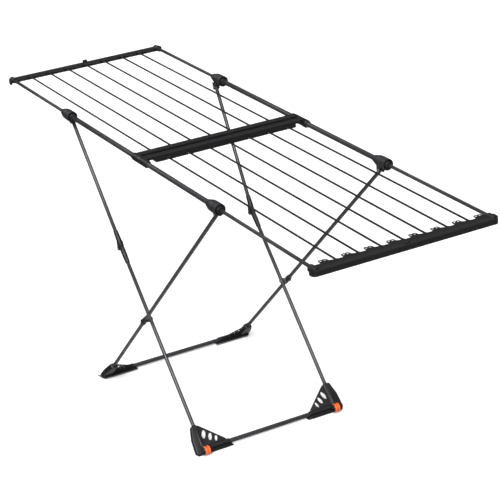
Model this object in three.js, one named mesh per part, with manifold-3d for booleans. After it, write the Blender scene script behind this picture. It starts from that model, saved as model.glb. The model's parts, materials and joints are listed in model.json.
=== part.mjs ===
// Folding clothes drying rack: two line frames that slide along a pair of centre rails, on crossed
// legs with a locking knee. Millimetres. X runs along the lines, Y across them and Z up. The origin is
// on the floor under the middle of the rack. "near" is the +X half and "right" the +Y side.
import * as THREE from "three";
import { mergeVertices } from "three/addons/utils/BufferGeometryUtils.js";
import Module from "manifold-3d";

const wasm = await Module();
wasm.setup();

// Overall sizes
const LINE_FRAME_REACH = 1025; // middle of the rack to the axis of each end bar
const RAIL_SPACING = 555; // between the axes of the two centre rails
const RAIL_HEIGHT = 940; // rail axes above the floor
const GAP = 0.3; // air between pieces that touch
const RUNNING_GAP = 0.35; // air around a piece that slides or turns

// Tubes and lines
const RAIL = { outer: 8, inner: 6.6 };
const EXTENSION = { outer: 5.25, inner: 4.25 };
const LEG = { outer: 6, inner: 5 };
const FOOT_BAR = { outer: 7, inner: 5.8 };
const EXTENSION_OVERLAP = 100; // length of an extension rail left inside the centre rail
const RAIL_END_INSET = { far: 3, near: 2 }; // rail ends inside the mouths of the leg collars
const LINE_RADIUS = 3;
const LINE_SLIDE_GAP = 1; // air around a line that slides through the other half's inner bar
const LINE_COUNT = 7; // in each half
const LINE_STAGGER = 7.5; // each half's lines are shifted sideways, to pass beside the other half's
const LINE_PITCH = RAIL_SPACING / (LINE_COUNT + 1);

// End bars
const END_BAR = { halfWidth: 15.5, top: 5.5, bottom: -4.5 };
const CROWN = { brow: 7, shoulder: 8, back: 3 }; // how far the top rounds off, down and inwards
const SKIRT = { bottom: -15.5, width: 8, wrap: 22 }; // wrap: how far it turns back at each end
const END_BAR_OVERHANG = 14; // past the rail axis, and the corner radius
const END_BAR_SOCKET = { outer: 9, start: -20, end: 11 };
const END_BAR_BORE_END = 8;
const HANGER_TAB = { reach: 22, lobe: 7, lobeSpacing: 12.5, hole: 4.8, bottom: 1.4, thickness: 2, root: 2 };
const CATCH = { length: 16, width: 6, inset: 1, height: 6, root: 3 };

// Inner bars, which slide on the centre rails
const INNER_BAR = { inside: 9.5, outside: 34, top: 15, bottom: -6, wall: 3, shortOfRail: 34.5 };
const SLEEVE = { length: 48, wall: 4 };
const SLEEVE_LUG = { length: 26, width: 5, drop: 15 };

// Leg pivots, knee and feet, as places in the X-Z plane; the drops are below the rail axes
const PIVOT_DROP = 24;
const LEG_A_TOP_X = -546;
const LEG_B_TOP_X = 476;
const KNEE_X = -304;
const KNEE_DROP = 396;
const FOOT_A_X = 172;
const FOOT_B_X = -494;
const FOOT_AXIS_HEIGHT = 13;
// How far the legs stand inboard of the rail axes
const LEG_A_INBOARD = { top: 12.5, knee: 35, foot: 36.5 };
const LEG_B_INBOARD = { top: 6.5, foot: 18.5 };
const LEG_TOP_MARGIN = 7; // tube past its top pivot

// Leg collars: a tapered tail towards -X and a hollow ring mouth towards +X
const COLLAR = { tail: 37, ring: 33, tailRadius: 11.5, ringRadius: 18, ringWall: 3, ringDepth: 17 };
const COLLAR_NECK = { radius: 11.5, proud: 4 };
const COLLAR_SHAPE = { swellAt: 0.27, swellStep: 0.6, ringFloorStep: 1, neckTaper: 1 };
const EAR = { thickness: 3, width: 16, flare: 1, root: 2, bridge: 3 };
const TOP_PIN = { radius: 3, head: 5, headThickness: 2 };

// Knee
const KNEE = { length: 57, radius: 8.3, tubeSeat: 8, faceGap: 1, lugReach: 12, lugRadius: 7, lugRoot: 21 };
const KNEE_LUG = { inner: 3.4, outer: 9 };
const KNEE_PIN = { radius: 2.5, head: 4, headThickness: 1.5 };

// Crossing pivot
const CROSSING = { blockLength: 44, blockRadius: 9, washer: 8, shank: 2.5, head: 5, headThickness: 2 };

// Foot brackets: distances inboard of the leg axis, and up along the leg from the foot bar axis
const BRACKET = { thickness: 18, top: 80, outboard: 27, toeReach: 90, toeTop: 4, sole: 28, soleRise: 4 };
const TONGUE = { reach: 104, width: 25, rise: 5 }; // thin end of the sole under the foot bar
const BRACKET_EDGE = [
  [3 - BRACKET.outboard, 38],
  [-BRACKET.outboard, -8],
  [5 - BRACKET.outboard, -16],
  [BRACKET.toeReach, -16],
  [BRACKET.toeReach, BRACKET.toeTop],
  [BRACKET.toeReach - 6, BRACKET.toeTop + 10],
  [14, BRACKET.top - 3],
  [-12, BRACKET.top],
];
// Past the leg and above the foot bar the plate is cut back on both faces to a thin web
const BRACKET_WEB = { inboard: 10, bottom: 12, thickness: 3.5 };
const BRACKET_HOLE_TILT = THREE.MathUtils.degToRad(23);
const BRACKET_HOLES = [
  { inboard: 21, up: 44.5, halfWidth: 6.8, halfLength: 14 },
  { inboard: 39, up: 32, halfWidth: 6, halfLength: 12 },
  { inboard: 56, up: 21.5, halfWidth: 4.8, halfLength: 9.5 },
];
const FOOT_BAR_STOP = 4; // plastic between a far leg and the end of its foot bar
const LEG_SEAT = 9; // lower end of the leg tube above the foot bar axis
const WHEEL = { radius: 14, width: 18, bore: 2.4, chamfer: 2, forward: 19.5, up: 5.3, inboard: 4 };
const WHEEL_GROOVE = { halfWidth: 2, flare: 1, depth: 4.5 };
const WHEEL_POCKET_GAP = 1.6;
const WHEEL_CHEEK = { radius: 12, thickness: 4.5 };
const AXLE_RADIUS = 2;
const PAD = { thickness: 4, tipOut: 31, tipBack: 30, heel: 4, heelCut: 6, toeCut: 8, tailCut: 18 };

const TUBE_SIDES = 16;
const LINE_SIDES = 8;
const ROUND_SIDES = 20;
const SMALL_SIDES = 12;
const ARC_STEPS = 4;

const steel = new THREE.MeshStandardMaterial({ color: 0x47474b, roughness: 0.38, metalness: 0.55 });
const lineSteel = new THREE.MeshStandardMaterial({ color: 0x3a3a3c, roughness: 0.45, metalness: 0.4 });
const plastic = new THREE.MeshStandardMaterial({ color: 0x1b1b1e, roughness: 0.5, metalness: 0 });
const greyPlastic = new THREE.MeshStandardMaterial({ color: 0x343438, roughness: 0.55, metalness: 0 });
const rubber = new THREE.MeshStandardMaterial({ color: 0x6d6d72, roughness: 0.8, metalness: 0 });
const orangePlastic = new THREE.MeshStandardMaterial({ color: 0xe2662c, roughness: 0.5, metalness: 0 });
const pinSteel = new THREE.MeshStandardMaterial({ color: 0x6a6a6e, roughness: 0.35, metalness: 0.9 });

const rack = new THREE.Group();

function addPiece(name, geometry, material) {
  const piece = new THREE.Mesh(geometry, material);
  piece.name = name;
  rack.add(piece);
  return piece;
}

// Solids: three.js geometry in, manifold-3d joins and cuts, three.js geometry out.
function solid(geometry) {
  const bare = geometry.clone();
  bare.deleteAttribute("normal");
  bare.deleteAttribute("uv");
  const merged = mergeVertices(bare, 1e-4);
  return new wasm.Manifold(
    new wasm.Mesh({
      numProp: 3,
      vertProperties: merged.attributes.position.array,
      triVerts: new Uint32Array(merged.index.array),
    }),
  );
}

function geometryOf(manifold) {
  const mesh = manifold.getMesh();
  const geometry = new THREE.BufferGeometry();
  geometry.setAttribute("position", new THREE.BufferAttribute(mesh.vertProperties, mesh.numProp));
  geometry.setIndex(new THREE.BufferAttribute(mesh.triVerts, 1));
  const flat = geometry.toNonIndexed();
  flat.computeVertexNormals();
  return flat;
}

function joined(first, ...others) {
  return others.reduce((sum, next) => sum.add(next), first);
}

function cut(body, ...tools) {
  return tools.reduce((rest, tool) => rest.subtract(tool), body);
}

// Turns +Y onto the direction from one point to another and moves the middle of the piece there.
function along(geometry, from, to) {
  const direction = to.clone().sub(from).normalize();
  const turn = new THREE.Quaternion().setFromUnitVectors(new THREE.Vector3(0, 1, 0), direction);
  const middle = from.clone().add(to).multiplyScalar(0.5);
  return geometry.applyMatrix4(new THREE.Matrix4().compose(middle, turn, new THREE.Vector3(1, 1, 1)));
}

function rod(from, to, radius, sides) {
  return along(new THREE.CylinderGeometry(radius, radius, from.distanceTo(to), sides), from, to);
}

function tube(from, to, size, sides) {
  const half = from.distanceTo(to) / 2;
  const ring = [
    new THREE.Vector2(size.inner, -half),
    new THREE.Vector2(size.outer, -half),
    new THREE.Vector2(size.outer, half),
    new THREE.Vector2(size.inner, half),
    new THREE.Vector2(size.inner, -half),
  ];
  return along(new THREE.LatheGeometry(ring, sides), from, to);
}

function box(low, high) {
  const size = high.clone().sub(low);
  const middle = high.clone().add(low).multiplyScalar(0.5);
  return new THREE.BoxGeometry(size.x, size.y, size.z).translate(middle.x, middle.y, middle.z);
}

// Turned piece around an axis: stations are [distance along the axis, radius] pairs in order.
function turned(from, direction, stations, sides) {
  const profile = stations.map(([distance, radius]) => new THREE.Vector2(radius, distance));
  const geometry = new THREE.LatheGeometry(profile, sides);
  const turn = new THREE.Quaternion().setFromUnitVectors(new THREE.Vector3(0, 1, 0), direction);
  return geometry.applyMatrix4(new THREE.Matrix4().compose(from, turn, new THREE.Vector3(1, 1, 1)));
}

function point(x, y, z) {
  return new THREE.Vector3(x, y, z);
}

function polygon(points) {
  return new THREE.Shape(points.map(([x, y]) => new THREE.Vector2(x, y)));
}

function prism(shape, depth) {
  return new THREE.ExtrudeGeometry(shape, { depth, bevelEnabled: false, curveSegments: ARC_STEPS });
}

// Pin across the rack with a rounded head on each end, between two Y values.
function headedPin(centre, fromY, toY, pin) {
  const length = Math.abs(toY - fromY);
  const start = point(centre.x, Math.min(fromY, toY), centre.z);
  const stations = [
    [-pin.headThickness, 0],
    [-pin.headThickness, pin.head * 0.7],
    [-pin.headThickness * 0.4, pin.head],
    [0, pin.head],
    [0, pin.radius],
    [length, pin.radius],
    [length, pin.head],
    [length + pin.headThickness * 0.4, pin.head],
    [length + pin.headThickness, pin.head * 0.7],
    [length + pin.headThickness, 0],
  ];
  return turned(start, point(0, 1, 0), stations, SMALL_SIDES);
}

function crossHole(centre, y, radius, halfLength) {
  const low = point(centre.x, y - halfLength, centre.z);
  const high = point(centre.x, y + halfLength, centre.z);
  return solid(rod(low, high, radius, SMALL_SIDES));
}

// Places that several pieces share
const railY = RAIL_SPACING / 2;
const pivotZ = RAIL_HEIGHT - PIVOT_DROP;
const legATop = point(LEG_A_TOP_X, 0, pivotZ);
const legBTop = point(LEG_B_TOP_X, 0, pivotZ);
const knee = point(KNEE_X, 0, RAIL_HEIGHT - KNEE_DROP);
const footA = point(FOOT_A_X, 0, FOOT_AXIS_HEIGHT);
const footB = point(FOOT_B_X, 0, FOOT_AXIS_HEIGHT);
const railFarEnd = LEG_A_TOP_X - COLLAR.tail + RAIL_END_INSET.far;
const railNearEnd = LEG_B_TOP_X + COLLAR.ring - RAIL_END_INSET.near;
const sides = [
  { name: "left", sign: -1 },
  { name: "right", sign: 1 },
];
const halves = [
  { name: "far", sign: -1 },
  { name: "near", sign: 1 },
];

function crossingPoint() {
  const a = footA.clone().sub(knee);
  const b = footB.clone().sub(legBTop);
  const start = legBTop.clone().sub(knee);
  const share = (start.x * b.z - start.z * b.x) / (a.x * b.z - a.z * b.x);
  return knee.clone().addScaledVector(a, share);
}

const crossing = crossingPoint();

function shareAlong(from, to, place) {
  return place.clone().sub(from).length() / to.clone().sub(from).length();
}

const crossingAY =
  railY -
  THREE.MathUtils.lerp(LEG_A_INBOARD.knee, LEG_A_INBOARD.foot, shareAlong(knee, footA, crossing));
const crossingBY =
  railY -
  THREE.MathUtils.lerp(LEG_B_INBOARD.top, LEG_B_INBOARD.foot, shareAlong(legBTop, footB, crossing));

function atY(place, y) {
  return point(place.x, y, place.z);
}

// Unit vector from one place to another, and its normal in the X-Z plane that points towards -X.
function unit(from, to) {
  return to.clone().sub(from).normalize();
}

function backNormal(direction) {
  const back = point(direction.z, 0, -direction.x);
  return back.x > 0 ? back.negate() : back;
}

function lineY(index, half) {
  return (index - (LINE_COUNT - 1) / 2) * LINE_PITCH + half.sign * LINE_STAGGER;
}

// Rails

function centreRail(side) {
  const y = side.sign * railY;
  const rail = tube(point(railFarEnd, y, RAIL_HEIGHT), point(railNearEnd, y, RAIL_HEIGHT), RAIL, TUBE_SIDES);
  addPiece(`centre_rail_${side.name}`, rail, steel);
}

function extensionRail(half, side) {
  const y = side.sign * railY;
  const mouth = half.sign > 0 ? railNearEnd : railFarEnd;
  const inside = point(mouth - half.sign * EXTENSION_OVERLAP, y, RAIL_HEIGHT);
  const outside = point(half.sign * (LINE_FRAME_REACH + END_BAR_BORE_END - GAP), y, RAIL_HEIGHT);
  addPiece(`extension_rail_${half.name}_${side.name}`, tube(inside, outside, EXTENSION, TUBE_SIDES), steel);
}

function line(half, index) {
  const y = lineY(index, half);
  const anchored = -half.sign * (INNER_BAR.outside - INNER_BAR.wall - GAP);
  const outer = half.sign * (LINE_FRAME_REACH + END_BAR_BORE_END - GAP);
  const wire = rod(point(anchored, y, RAIL_HEIGHT), point(outer, y, RAIL_HEIGHT), LINE_RADIUS, LINE_SIDES);
  addPiece(`line_${half.name}_${index + 1}`, wire, lineSteel);
}

// End bar: a rounded crown over a deep skirt along its outer edge and round its ends. It is made for
// the near end in its own frame (x outwards from the bar's axis, z up from the rail axes) and turned
// for the far end.

function crownProfile() {
  const { halfWidth, top, bottom } = END_BAR;
  const { brow, shoulder, back } = CROWN;
  const shape = new THREE.Shape();
  shape.moveTo(-halfWidth, bottom);
  shape.lineTo(halfWidth, bottom);
  shape.lineTo(halfWidth, top - brow);
  shape.quadraticCurveTo(halfWidth, top, halfWidth - shoulder, top);
  shape.lineTo(-halfWidth + back, top);
  shape.quadraticCurveTo(-halfWidth, top, -halfWidth, top - back);
  return shape;
}

function endBarPlan() {
  const { halfWidth } = END_BAR;
  const end = railY + END_BAR_OVERHANG;
  const radius = Math.min(END_BAR_OVERHANG, halfWidth);
  const shape = new THREE.Shape();
  shape.moveTo(-halfWidth, -end);
  shape.lineTo(halfWidth - radius, -end);
  shape.absarc(halfWidth - radius, -end + radius, radius, -Math.PI / 2, 0, false);
  shape.lineTo(halfWidth, end - radius);
  shape.absarc(halfWidth - radius, end - radius, radius, 0, Math.PI / 2, false);
  shape.lineTo(-halfWidth, end);
  return shape;
}

function endBarShell() {
  const end = railY + END_BAR_OVERHANG;
  const { halfWidth, top, bottom } = END_BAR;
  const lengthways = new THREE.Matrix4().makeBasis(point(1, 0, 0), point(0, 0, 1), point(0, -1, 0));
  const crown = solid(prism(crownProfile(), 2 * end).applyMatrix4(lengthways).translate(0, end, 0));
  const plan = (low, high) => solid(prism(endBarPlan(), high - low).translate(0, 0, low));
  const inner = end - SKIRT.width;
  const hollow = box(
    point(-halfWidth - 1, -inner, SKIRT.bottom - 1),
    point(halfWidth - SKIRT.width, inner, bottom),
  );
  const behind = box(
    point(-halfWidth - 1, -end - 1, SKIRT.bottom - 1),
    point(halfWidth - SKIRT.wrap, end + 1, bottom),
  );
  const skirt = cut(plan(SKIRT.bottom, bottom + 1), solid(hollow), solid(behind));
  return joined(crown.intersect(plan(bottom, top)), skirt);
}

// Flat tab behind the bar with two eyelets side by side and a shallow notch between them.
const NOTCH_SHARE = 0.7;

function hangerTab(y) {
  const { reach, lobe, lobeSpacing, hole, bottom, thickness, root } = HANGER_TAB;
  const edge = -END_BAR.halfWidth + root;
  const lobeX = -END_BAR.halfWidth - reach + lobe;
  const half = lobeSpacing / 2;
  const shape = new THREE.Shape();
  shape.moveTo(edge, y - half - lobe);
  shape.lineTo(edge, y + half + lobe);
  shape.lineTo(lobeX, y + half + lobe);
  shape.absarc(lobeX, y + half, lobe, Math.PI / 2, Math.PI, false);
  shape.lineTo(lobeX - lobe * NOTCH_SHARE, y);
  shape.lineTo(lobeX - lobe, y - half);
  shape.absarc(lobeX, y - half, lobe, Math.PI, 1.5 * Math.PI, false);
  for (const sign of [-1, 1]) {
    const eye = new THREE.Path();
    eye.absarc(lobeX, y + sign * half, hole, 0, 2 * Math.PI, true);
    shape.holes.push(eye);
  }
  return solid(prism(shape, thickness).translate(0, 0, bottom));
}

function endBar(half) {
  const nearHalf = halves[1];
  const { outer, start, end } = END_BAR_SOCKET;
  const across = (y, from, to, radius, sideCount) =>
    solid(rod(point(from, y, 0), point(to, y, 0), radius, sideCount));
  const bore = (y, radius, sideCount) => across(y, start - 1, END_BAR_BORE_END, radius, sideCount);
  const catchFace = END_BAR.halfWidth - CATCH.inset;
  const catchLow = point(catchFace - CATCH.width, -CATCH.length / 2, END_BAR.top - CATCH.root);
  const catchHigh = point(catchFace, CATCH.length / 2, END_BAR.top + CATCH.height);
  let body = joined(endBarShell(), solid(box(catchLow, catchHigh)));
  for (let gapIndex = 0; gapIndex <= LINE_COUNT; gapIndex += 1) {
    body = body.add(hangerTab((gapIndex - LINE_COUNT / 2) * LINE_PITCH + LINE_STAGGER));
  }
  for (const { sign } of sides) {
    body = body.add(across(sign * railY, start, end, outer, SMALL_SIDES));
    body = cut(body, bore(sign * railY, EXTENSION.outer + GAP, TUBE_SIDES));
  }
  for (let index = 0; index < LINE_COUNT; index += 1) {
    body = cut(body, bore(lineY(index, nearHalf), LINE_RADIUS + GAP, LINE_SIDES));
  }
  const piece = addPiece(`end_bar_${half.name}`, geometryOf(body), plastic);
  piece.position.set(half.sign * LINE_FRAME_REACH, 0, RAIL_HEIGHT);
  piece.rotation.z = half.sign > 0 ? 0 : Math.PI;
}

// Inner bar: an upside-down channel with a sleeve at each end. It is made for the +X side, where it
// anchors the far half's lines and lets the near half's lines through, and turned for the other side.

function innerBar(half) {
  const { inside, outside, top, bottom, wall, shortOfRail } = INNER_BAR;
  const reach = RAIL_SPACING / 2 - shortOfRail;
  const bore = RAIL.outer + RUNNING_GAP;
  const sleeveRadius = bore + SLEEVE.wall;
  const shell = solid(box(point(inside, -reach, bottom), point(outside, reach, top)));
  const hollowLow = point(inside + wall, -reach + wall, bottom - 1);
  const hollowHigh = point(outside - wall, reach - wall, top - wall);
  let body = cut(shell, solid(box(hollowLow, hollowHigh)));
  for (const { sign } of sides) {
    const from = point(GAP, sign * railY, 0);
    const to = point(SLEEVE.length, sign * railY, 0);
    const nearY = sign * (reach - 1);
    const farY = sign * railY;
    const flange = box(
      point(inside, Math.min(nearY, farY), bore + 1),
      point(outside, Math.max(nearY, farY), top),
    );
    const lugMiddle = SLEEVE.length / 2;
    const lug = box(
      point(lugMiddle - SLEEVE_LUG.length / 2, farY - SLEEVE_LUG.width / 2, -SLEEVE_LUG.drop),
      point(lugMiddle + SLEEVE_LUG.length / 2, farY + SLEEVE_LUG.width / 2, -bore),
    );
    body = joined(body, solid(rod(from, to, sleeveRadius, ROUND_SIDES)), solid(flange), solid(lug));
    body = cut(body, solid(rod(point(-1, farY, 0), point(SLEEVE.length + 1, farY, 0), bore, ROUND_SIDES)));
  }
  const [farHalf, nearHalf] = halves;
  const hole = (y, to, radius) => solid(rod(point(inside - 1, y, 0), point(to, y, 0), radius, LINE_SIDES));
  for (let index = 0; index < LINE_COUNT; index += 1) {
    const passing = lineY(index, nearHalf);
    const anchored = lineY(index, farHalf);
    body = cut(body, hole(passing, outside + 1, LINE_RADIUS + LINE_SLIDE_GAP));
    body = cut(body, hole(anchored, outside - wall - GAP / 2, LINE_RADIUS + GAP));
  }
  const piece = addPiece(`inner_bar_${half.name}_half`, geometryOf(body), plastic);
  piece.position.set(0, 0, RAIL_HEIGHT);
  piece.rotation.z = half.sign < 0 ? 0 : Math.PI;
}

// Leg collar around the rail, in a frame at the rail axis above the leg pivot.

function legCollar(name, side, pivot, inboard) {
  const { tail, ring, tailRadius, ringRadius, ringWall, ringDepth } = COLLAR;
  const bore = RAIL.outer + GAP;
  const neckEnd = ring + COLLAR_NECK.proud;
  const profile = [
    [-tail, bore],
    [-tail, tailRadius],
    [-tail * COLLAR_SHAPE.swellAt, ringRadius - COLLAR_SHAPE.swellStep],
    [ring - ringDepth, ringRadius],
    [ring, ringRadius],
    [ring, ringRadius - ringWall],
    [ring - ringDepth, ringRadius - ringWall - COLLAR_SHAPE.ringFloorStep],
    [ring - ringDepth, COLLAR_NECK.radius],
    [neckEnd, COLLAR_NECK.radius - COLLAR_SHAPE.neckTaper],
    [neckEnd, bore],
    [-tail, bore],
  ];
  const sleeve = solid(turned(point(0, 0, 0), point(1, 0, 0), profile, ROUND_SIDES));
  const legY = -side.sign * inboard;
  const clear = LEG.outer + RUNNING_GAP;
  let body = sleeve;
  for (const sign of [-1, 1]) {
    const face = legY + sign * clear;
    const far = face + sign * EAR.thickness;
    const shape = new THREE.Shape();
    shape.moveTo(-EAR.width / 2 - EAR.flare, -COLLAR_NECK.radius + EAR.root);
    shape.lineTo(-EAR.width / 2, -PIVOT_DROP);
    shape.absarc(0, -PIVOT_DROP, EAR.width / 2, Math.PI, 2 * Math.PI, false);
    shape.lineTo(EAR.width / 2 + EAR.flare, -COLLAR_NECK.radius + EAR.root);
    const upright = new THREE.Matrix4().makeBasis(point(1, 0, 0), point(0, 0, 1), point(0, -1, 0));
    const ear = prism(shape, EAR.thickness).applyMatrix4(upright).translate(0, Math.max(face, far), 0);
    body = body.add(solid(ear));
  }
  const bridge = box(
    point(-EAR.width / 2 - EAR.flare, legY - clear - EAR.thickness, -COLLAR_NECK.radius - EAR.bridge),
    point(EAR.width / 2 + EAR.flare, legY + clear + EAR.thickness, -COLLAR_NECK.radius + EAR.bridge),
  );
  body = body.add(solid(bridge));
  const railBore = solid(rod(point(-tail - 1, 0, 0), point(neckEnd + 1, 0, 0), bore, ROUND_SIDES));
  const pinHole = crossHole(point(0, 0, -PIVOT_DROP), legY, TOP_PIN.radius + GAP, 2 * COLLAR.ringRadius);
  const swingRadius = (Math.hypot(LEG_TOP_MARGIN, LEG.outer) + RUNNING_GAP) / Math.cos(Math.PI / ROUND_SIDES);
  const swingFrom = point(0, legY - clear, -PIVOT_DROP);
  const swingTo = point(0, legY + clear, -PIVOT_DROP);
  const swing = solid(rod(swingFrom, swingTo, swingRadius, ROUND_SIDES));
  body = cut(body, railBore, pinHole, swing);
  const piece = addPiece(name, geometryOf(body), greyPlastic);
  piece.position.set(pivot.x, side.sign * railY, RAIL_HEIGHT);
}

function topPin(name, side, pivot, inboard) {
  const y = side.sign * (railY - inboard);
  const reach = LEG.outer + RUNNING_GAP + EAR.thickness + GAP;
  addPiece(name, headedPin(pivot, y - reach, y + reach, TOP_PIN), pinSteel);
}

// Legs

function legAUpper(side) {
  const top = atY(legATop, side.sign * (railY - LEG_A_INBOARD.top));
  const bottom = atY(knee, side.sign * (railY - LEG_A_INBOARD.knee));
  const direction = unit(top, bottom);
  const start = top.clone().addScaledVector(direction, -LEG_TOP_MARGIN);
  const end = bottom.clone().addScaledVector(direction, -KNEE.tubeSeat);
  const hole = crossHole(legATop, top.y, TOP_PIN.radius + RUNNING_GAP, LEG.outer * 2);
  const body = cut(solid(tube(start, end, LEG, TUBE_SIDES)), hole);
  addPiece(`leg_a_upper_${side.name}`, geometryOf(body), steel);
}

function legALower(side) {
  const top = atY(knee, side.sign * (railY - LEG_A_INBOARD.knee));
  const bottom = atY(footA, side.sign * (railY - LEG_A_INBOARD.foot));
  const direction = unit(top, bottom);
  const start = top.clone().addScaledVector(direction, KNEE.tubeSeat);
  const end = bottom.clone().addScaledVector(direction, -LEG_SEAT);
  const hole = crossHole(crossing, side.sign * crossingAY, CROSSING.shank + GAP, LEG.outer * 2);
  const body = cut(solid(tube(start, end, LEG, TUBE_SIDES)), hole);
  addPiece(`leg_a_lower_${side.name}`, geometryOf(body), steel);
}

function legB(side) {
  const top = atY(legBTop, side.sign * (railY - LEG_B_INBOARD.top));
  const bottom = atY(footB, side.sign * (railY - LEG_B_INBOARD.foot));
  const direction = unit(top, bottom);
  const start = top.clone().addScaledVector(direction, -LEG_TOP_MARGIN);
  const end = bottom.clone().addScaledVector(direction, -LEG_SEAT);
  const hole = crossHole(legBTop, top.y, TOP_PIN.radius + RUNNING_GAP, LEG.outer * 2);
  const body = cut(solid(tube(start, end, LEG, TUBE_SIDES)), hole);
  addPiece(`leg_b_${side.name}`, geometryOf(body), steel);
}

// Knee: each bracket is a sleeve on its tube. The pin lies behind the tubes, so that their ends butt
// together when the leg is straight and lie side by side when it is folded.

const kneeBack = backNormal(unit(legATop, footA));
const kneePivot = knee.clone().addScaledVector(kneeBack, KNEE.lugReach);

function kneeSpan(side, endPlace, endInboard, fromDistance, toDistance, radius, sideCount) {
  const middle = atY(knee, side.sign * (railY - LEG_A_INBOARD.knee));
  const direction = unit(middle, atY(endPlace, side.sign * (railY - endInboard)));
  const from = middle.clone().addScaledVector(direction, fromDistance);
  const to = middle.clone().addScaledVector(direction, toDistance);
  return solid(rod(from, to, radius, sideCount));
}

function kneeSleeve(side, endPlace, endInboard) {
  return kneeSpan(side, endPlace, endInboard, KNEE.faceGap, KNEE.length, KNEE.radius, ROUND_SIDES);
}

function kneeSocket(side, endPlace, endInboard) {
  const seat = KNEE.tubeSeat - GAP;
  return kneeSpan(side, endPlace, endInboard, seat, KNEE.length + 1, LEG.outer + GAP, TUBE_SIDES);
}

// A lug from the sleeve's end out to the pin, between two distances from the knee's middle plane.
function kneeLug(side, direction, innerOffset, outerOffset) {
  const y = side.sign * (railY - LEG_A_INBOARD.knee);
  const depth = outerOffset - innerOffset;
  const web = new THREE.Shape();
  web.moveTo(0, KNEE.faceGap);
  web.lineTo(KNEE.lugReach, KNEE.faceGap);
  web.lineTo(KNEE.lugReach, KNEE.lugRadius);
  web.lineTo(KNEE.radius - KNEE.faceGap, KNEE.lugRoot);
  web.lineTo(0, KNEE.lugRoot);
  const across = new THREE.Vector3().crossVectors(kneeBack, direction);
  const inPlane = new THREE.Matrix4().makeBasis(kneeBack, direction, across);
  inPlane.setPosition(atY(knee, y + (innerOffset + outerOffset) / 2));
  const plate = prism(web, depth).translate(0, 0, -depth / 2).applyMatrix4(inPlane);
  const low = atY(kneePivot, y + innerOffset);
  const high = atY(kneePivot, y + outerOffset);
  return joined(solid(plate), solid(rod(low, high, KNEE.lugRadius, ROUND_SIDES)));
}

function kneeUpper(side) {
  const y = side.sign * (railY - LEG_A_INBOARD.knee);
  const up = point(legATop.x - knee.x, 0, legATop.z - knee.z).normalize();
  const sleeve = kneeSleeve(side, legATop, LEG_A_INBOARD.top);
  const lugs = [-1, 1].map((sign) => {
    const offsets = [sign * KNEE_LUG.inner, sign * KNEE_LUG.outer].sort((a, b) => a - b);
    return kneeLug(side, up, offsets[0], offsets[1]);
  });
  const socket = kneeSocket(side, legATop, LEG_A_INBOARD.top);
  const slot = crossHole(kneePivot, y, KNEE.lugRadius + RUNNING_GAP, KNEE_LUG.inner);
  const hole = crossHole(kneePivot, y, KNEE_PIN.radius + GAP, 2 * KNEE.radius);
  const body = cut(joined(sleeve, ...lugs), socket, slot, hole);
  addPiece(`knee_upper_${side.name}`, geometryOf(body), plastic);
}

function kneeLower(side) {
  const y = side.sign * (railY - LEG_A_INBOARD.knee);
  const down = point(footA.x - knee.x, 0, footA.z - knee.z).normalize();
  const sleeve = kneeSleeve(side, footA, LEG_A_INBOARD.foot);
  const tongueHalf = KNEE_LUG.inner - RUNNING_GAP;
  const tongue = kneeLug(side, down, -tongueHalf, tongueHalf);
  const socket = kneeSocket(side, footA, LEG_A_INBOARD.foot);
  const hole = crossHole(kneePivot, y, KNEE_PIN.radius + RUNNING_GAP, 2 * KNEE.radius);
  const clearances = [-1, 1].map((sign) => {
    const middle = sign * (KNEE_LUG.inner + KNEE_LUG.outer + RUNNING_GAP) / 2;
    const half = (KNEE_LUG.outer - KNEE_LUG.inner) / 2 + RUNNING_GAP;
    return crossHole(kneePivot, y + middle, KNEE.lugRadius + RUNNING_GAP, half);
  });
  const body = cut(joined(sleeve, tongue), socket, hole, ...clearances);
  addPiece(`knee_lower_${side.name}`, geometryOf(body), plastic);
}

function kneePin(side) {
  const y = side.sign * (railY - LEG_A_INBOARD.knee);
  const reach = KNEE_LUG.outer + GAP;
  addPiece(`knee_pin_${side.name}`, headedPin(kneePivot, y - reach, y + reach, KNEE_PIN), pinSteel);
}

// Crossing pivot: a block on leg B faces a washered rivet on leg A.

function crossingBlock(side) {
  const direction = unit(legBTop, footB);
  const middle = atY(crossing, side.sign * crossingBY);
  const half = CROSSING.blockLength / 2;
  const top = middle.clone().addScaledVector(direction, -half);
  const bottom = middle.clone().addScaledVector(direction, half);
  const sleeve = solid(rod(top, bottom, CROSSING.blockRadius, ROUND_SIDES));
  const legTop = atY(legBTop, side.sign * (railY - LEG_B_INBOARD.top));
  const legBottom = atY(footB, side.sign * (railY - LEG_B_INBOARD.foot));
  const bore = solid(rod(legTop, legBottom, LEG.outer + GAP, TUBE_SIDES));
  const capStart = side.sign * (crossingBY + LEG.outer + 2 * GAP);
  const capEnd = side.sign * (crossingBY + CROSSING.blockRadius + CROSSING.headThickness);
  const cap = solid(rod(atY(crossing, capStart), atY(crossing, capEnd), CROSSING.washer, ROUND_SIDES));
  addPiece(`crossing_block_${side.name}`, geometryOf(cut(joined(sleeve, cap), bore)), plastic);
}

function crossingPin(side) {
  const inner = crossingAY - LEG.outer - GAP;
  const outer = crossingAY + LEG.outer + GAP;
  const face = crossingBY - CROSSING.blockRadius - RUNNING_GAP;
  const stations = [
    [-CROSSING.headThickness, 0],
    [-CROSSING.headThickness, CROSSING.head * 0.7],
    [0, CROSSING.head],
    [0, CROSSING.shank],
    [outer - inner, CROSSING.shank],
    [outer - inner, CROSSING.washer],
    [face - inner, CROSSING.washer],
    [face - inner, 0],
  ];
  const start = atY(crossing, side.sign * inner);
  const pin = turned(start, point(0, side.sign, 0), stations, SMALL_SIDES);
  addPiece(`crossing_pin_${side.name}`, pin, pinSteel);
}

// Feet

function footBar(name, foot, legInboard, endInboardOfLeg) {
  const reach = railY - legInboard - endInboardOfLeg;
  const bar = tube(atY(foot, -reach), atY(foot, reach), FOOT_BAR, TUBE_SIDES);
  addPiece(name, bar, steel);
}

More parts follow.
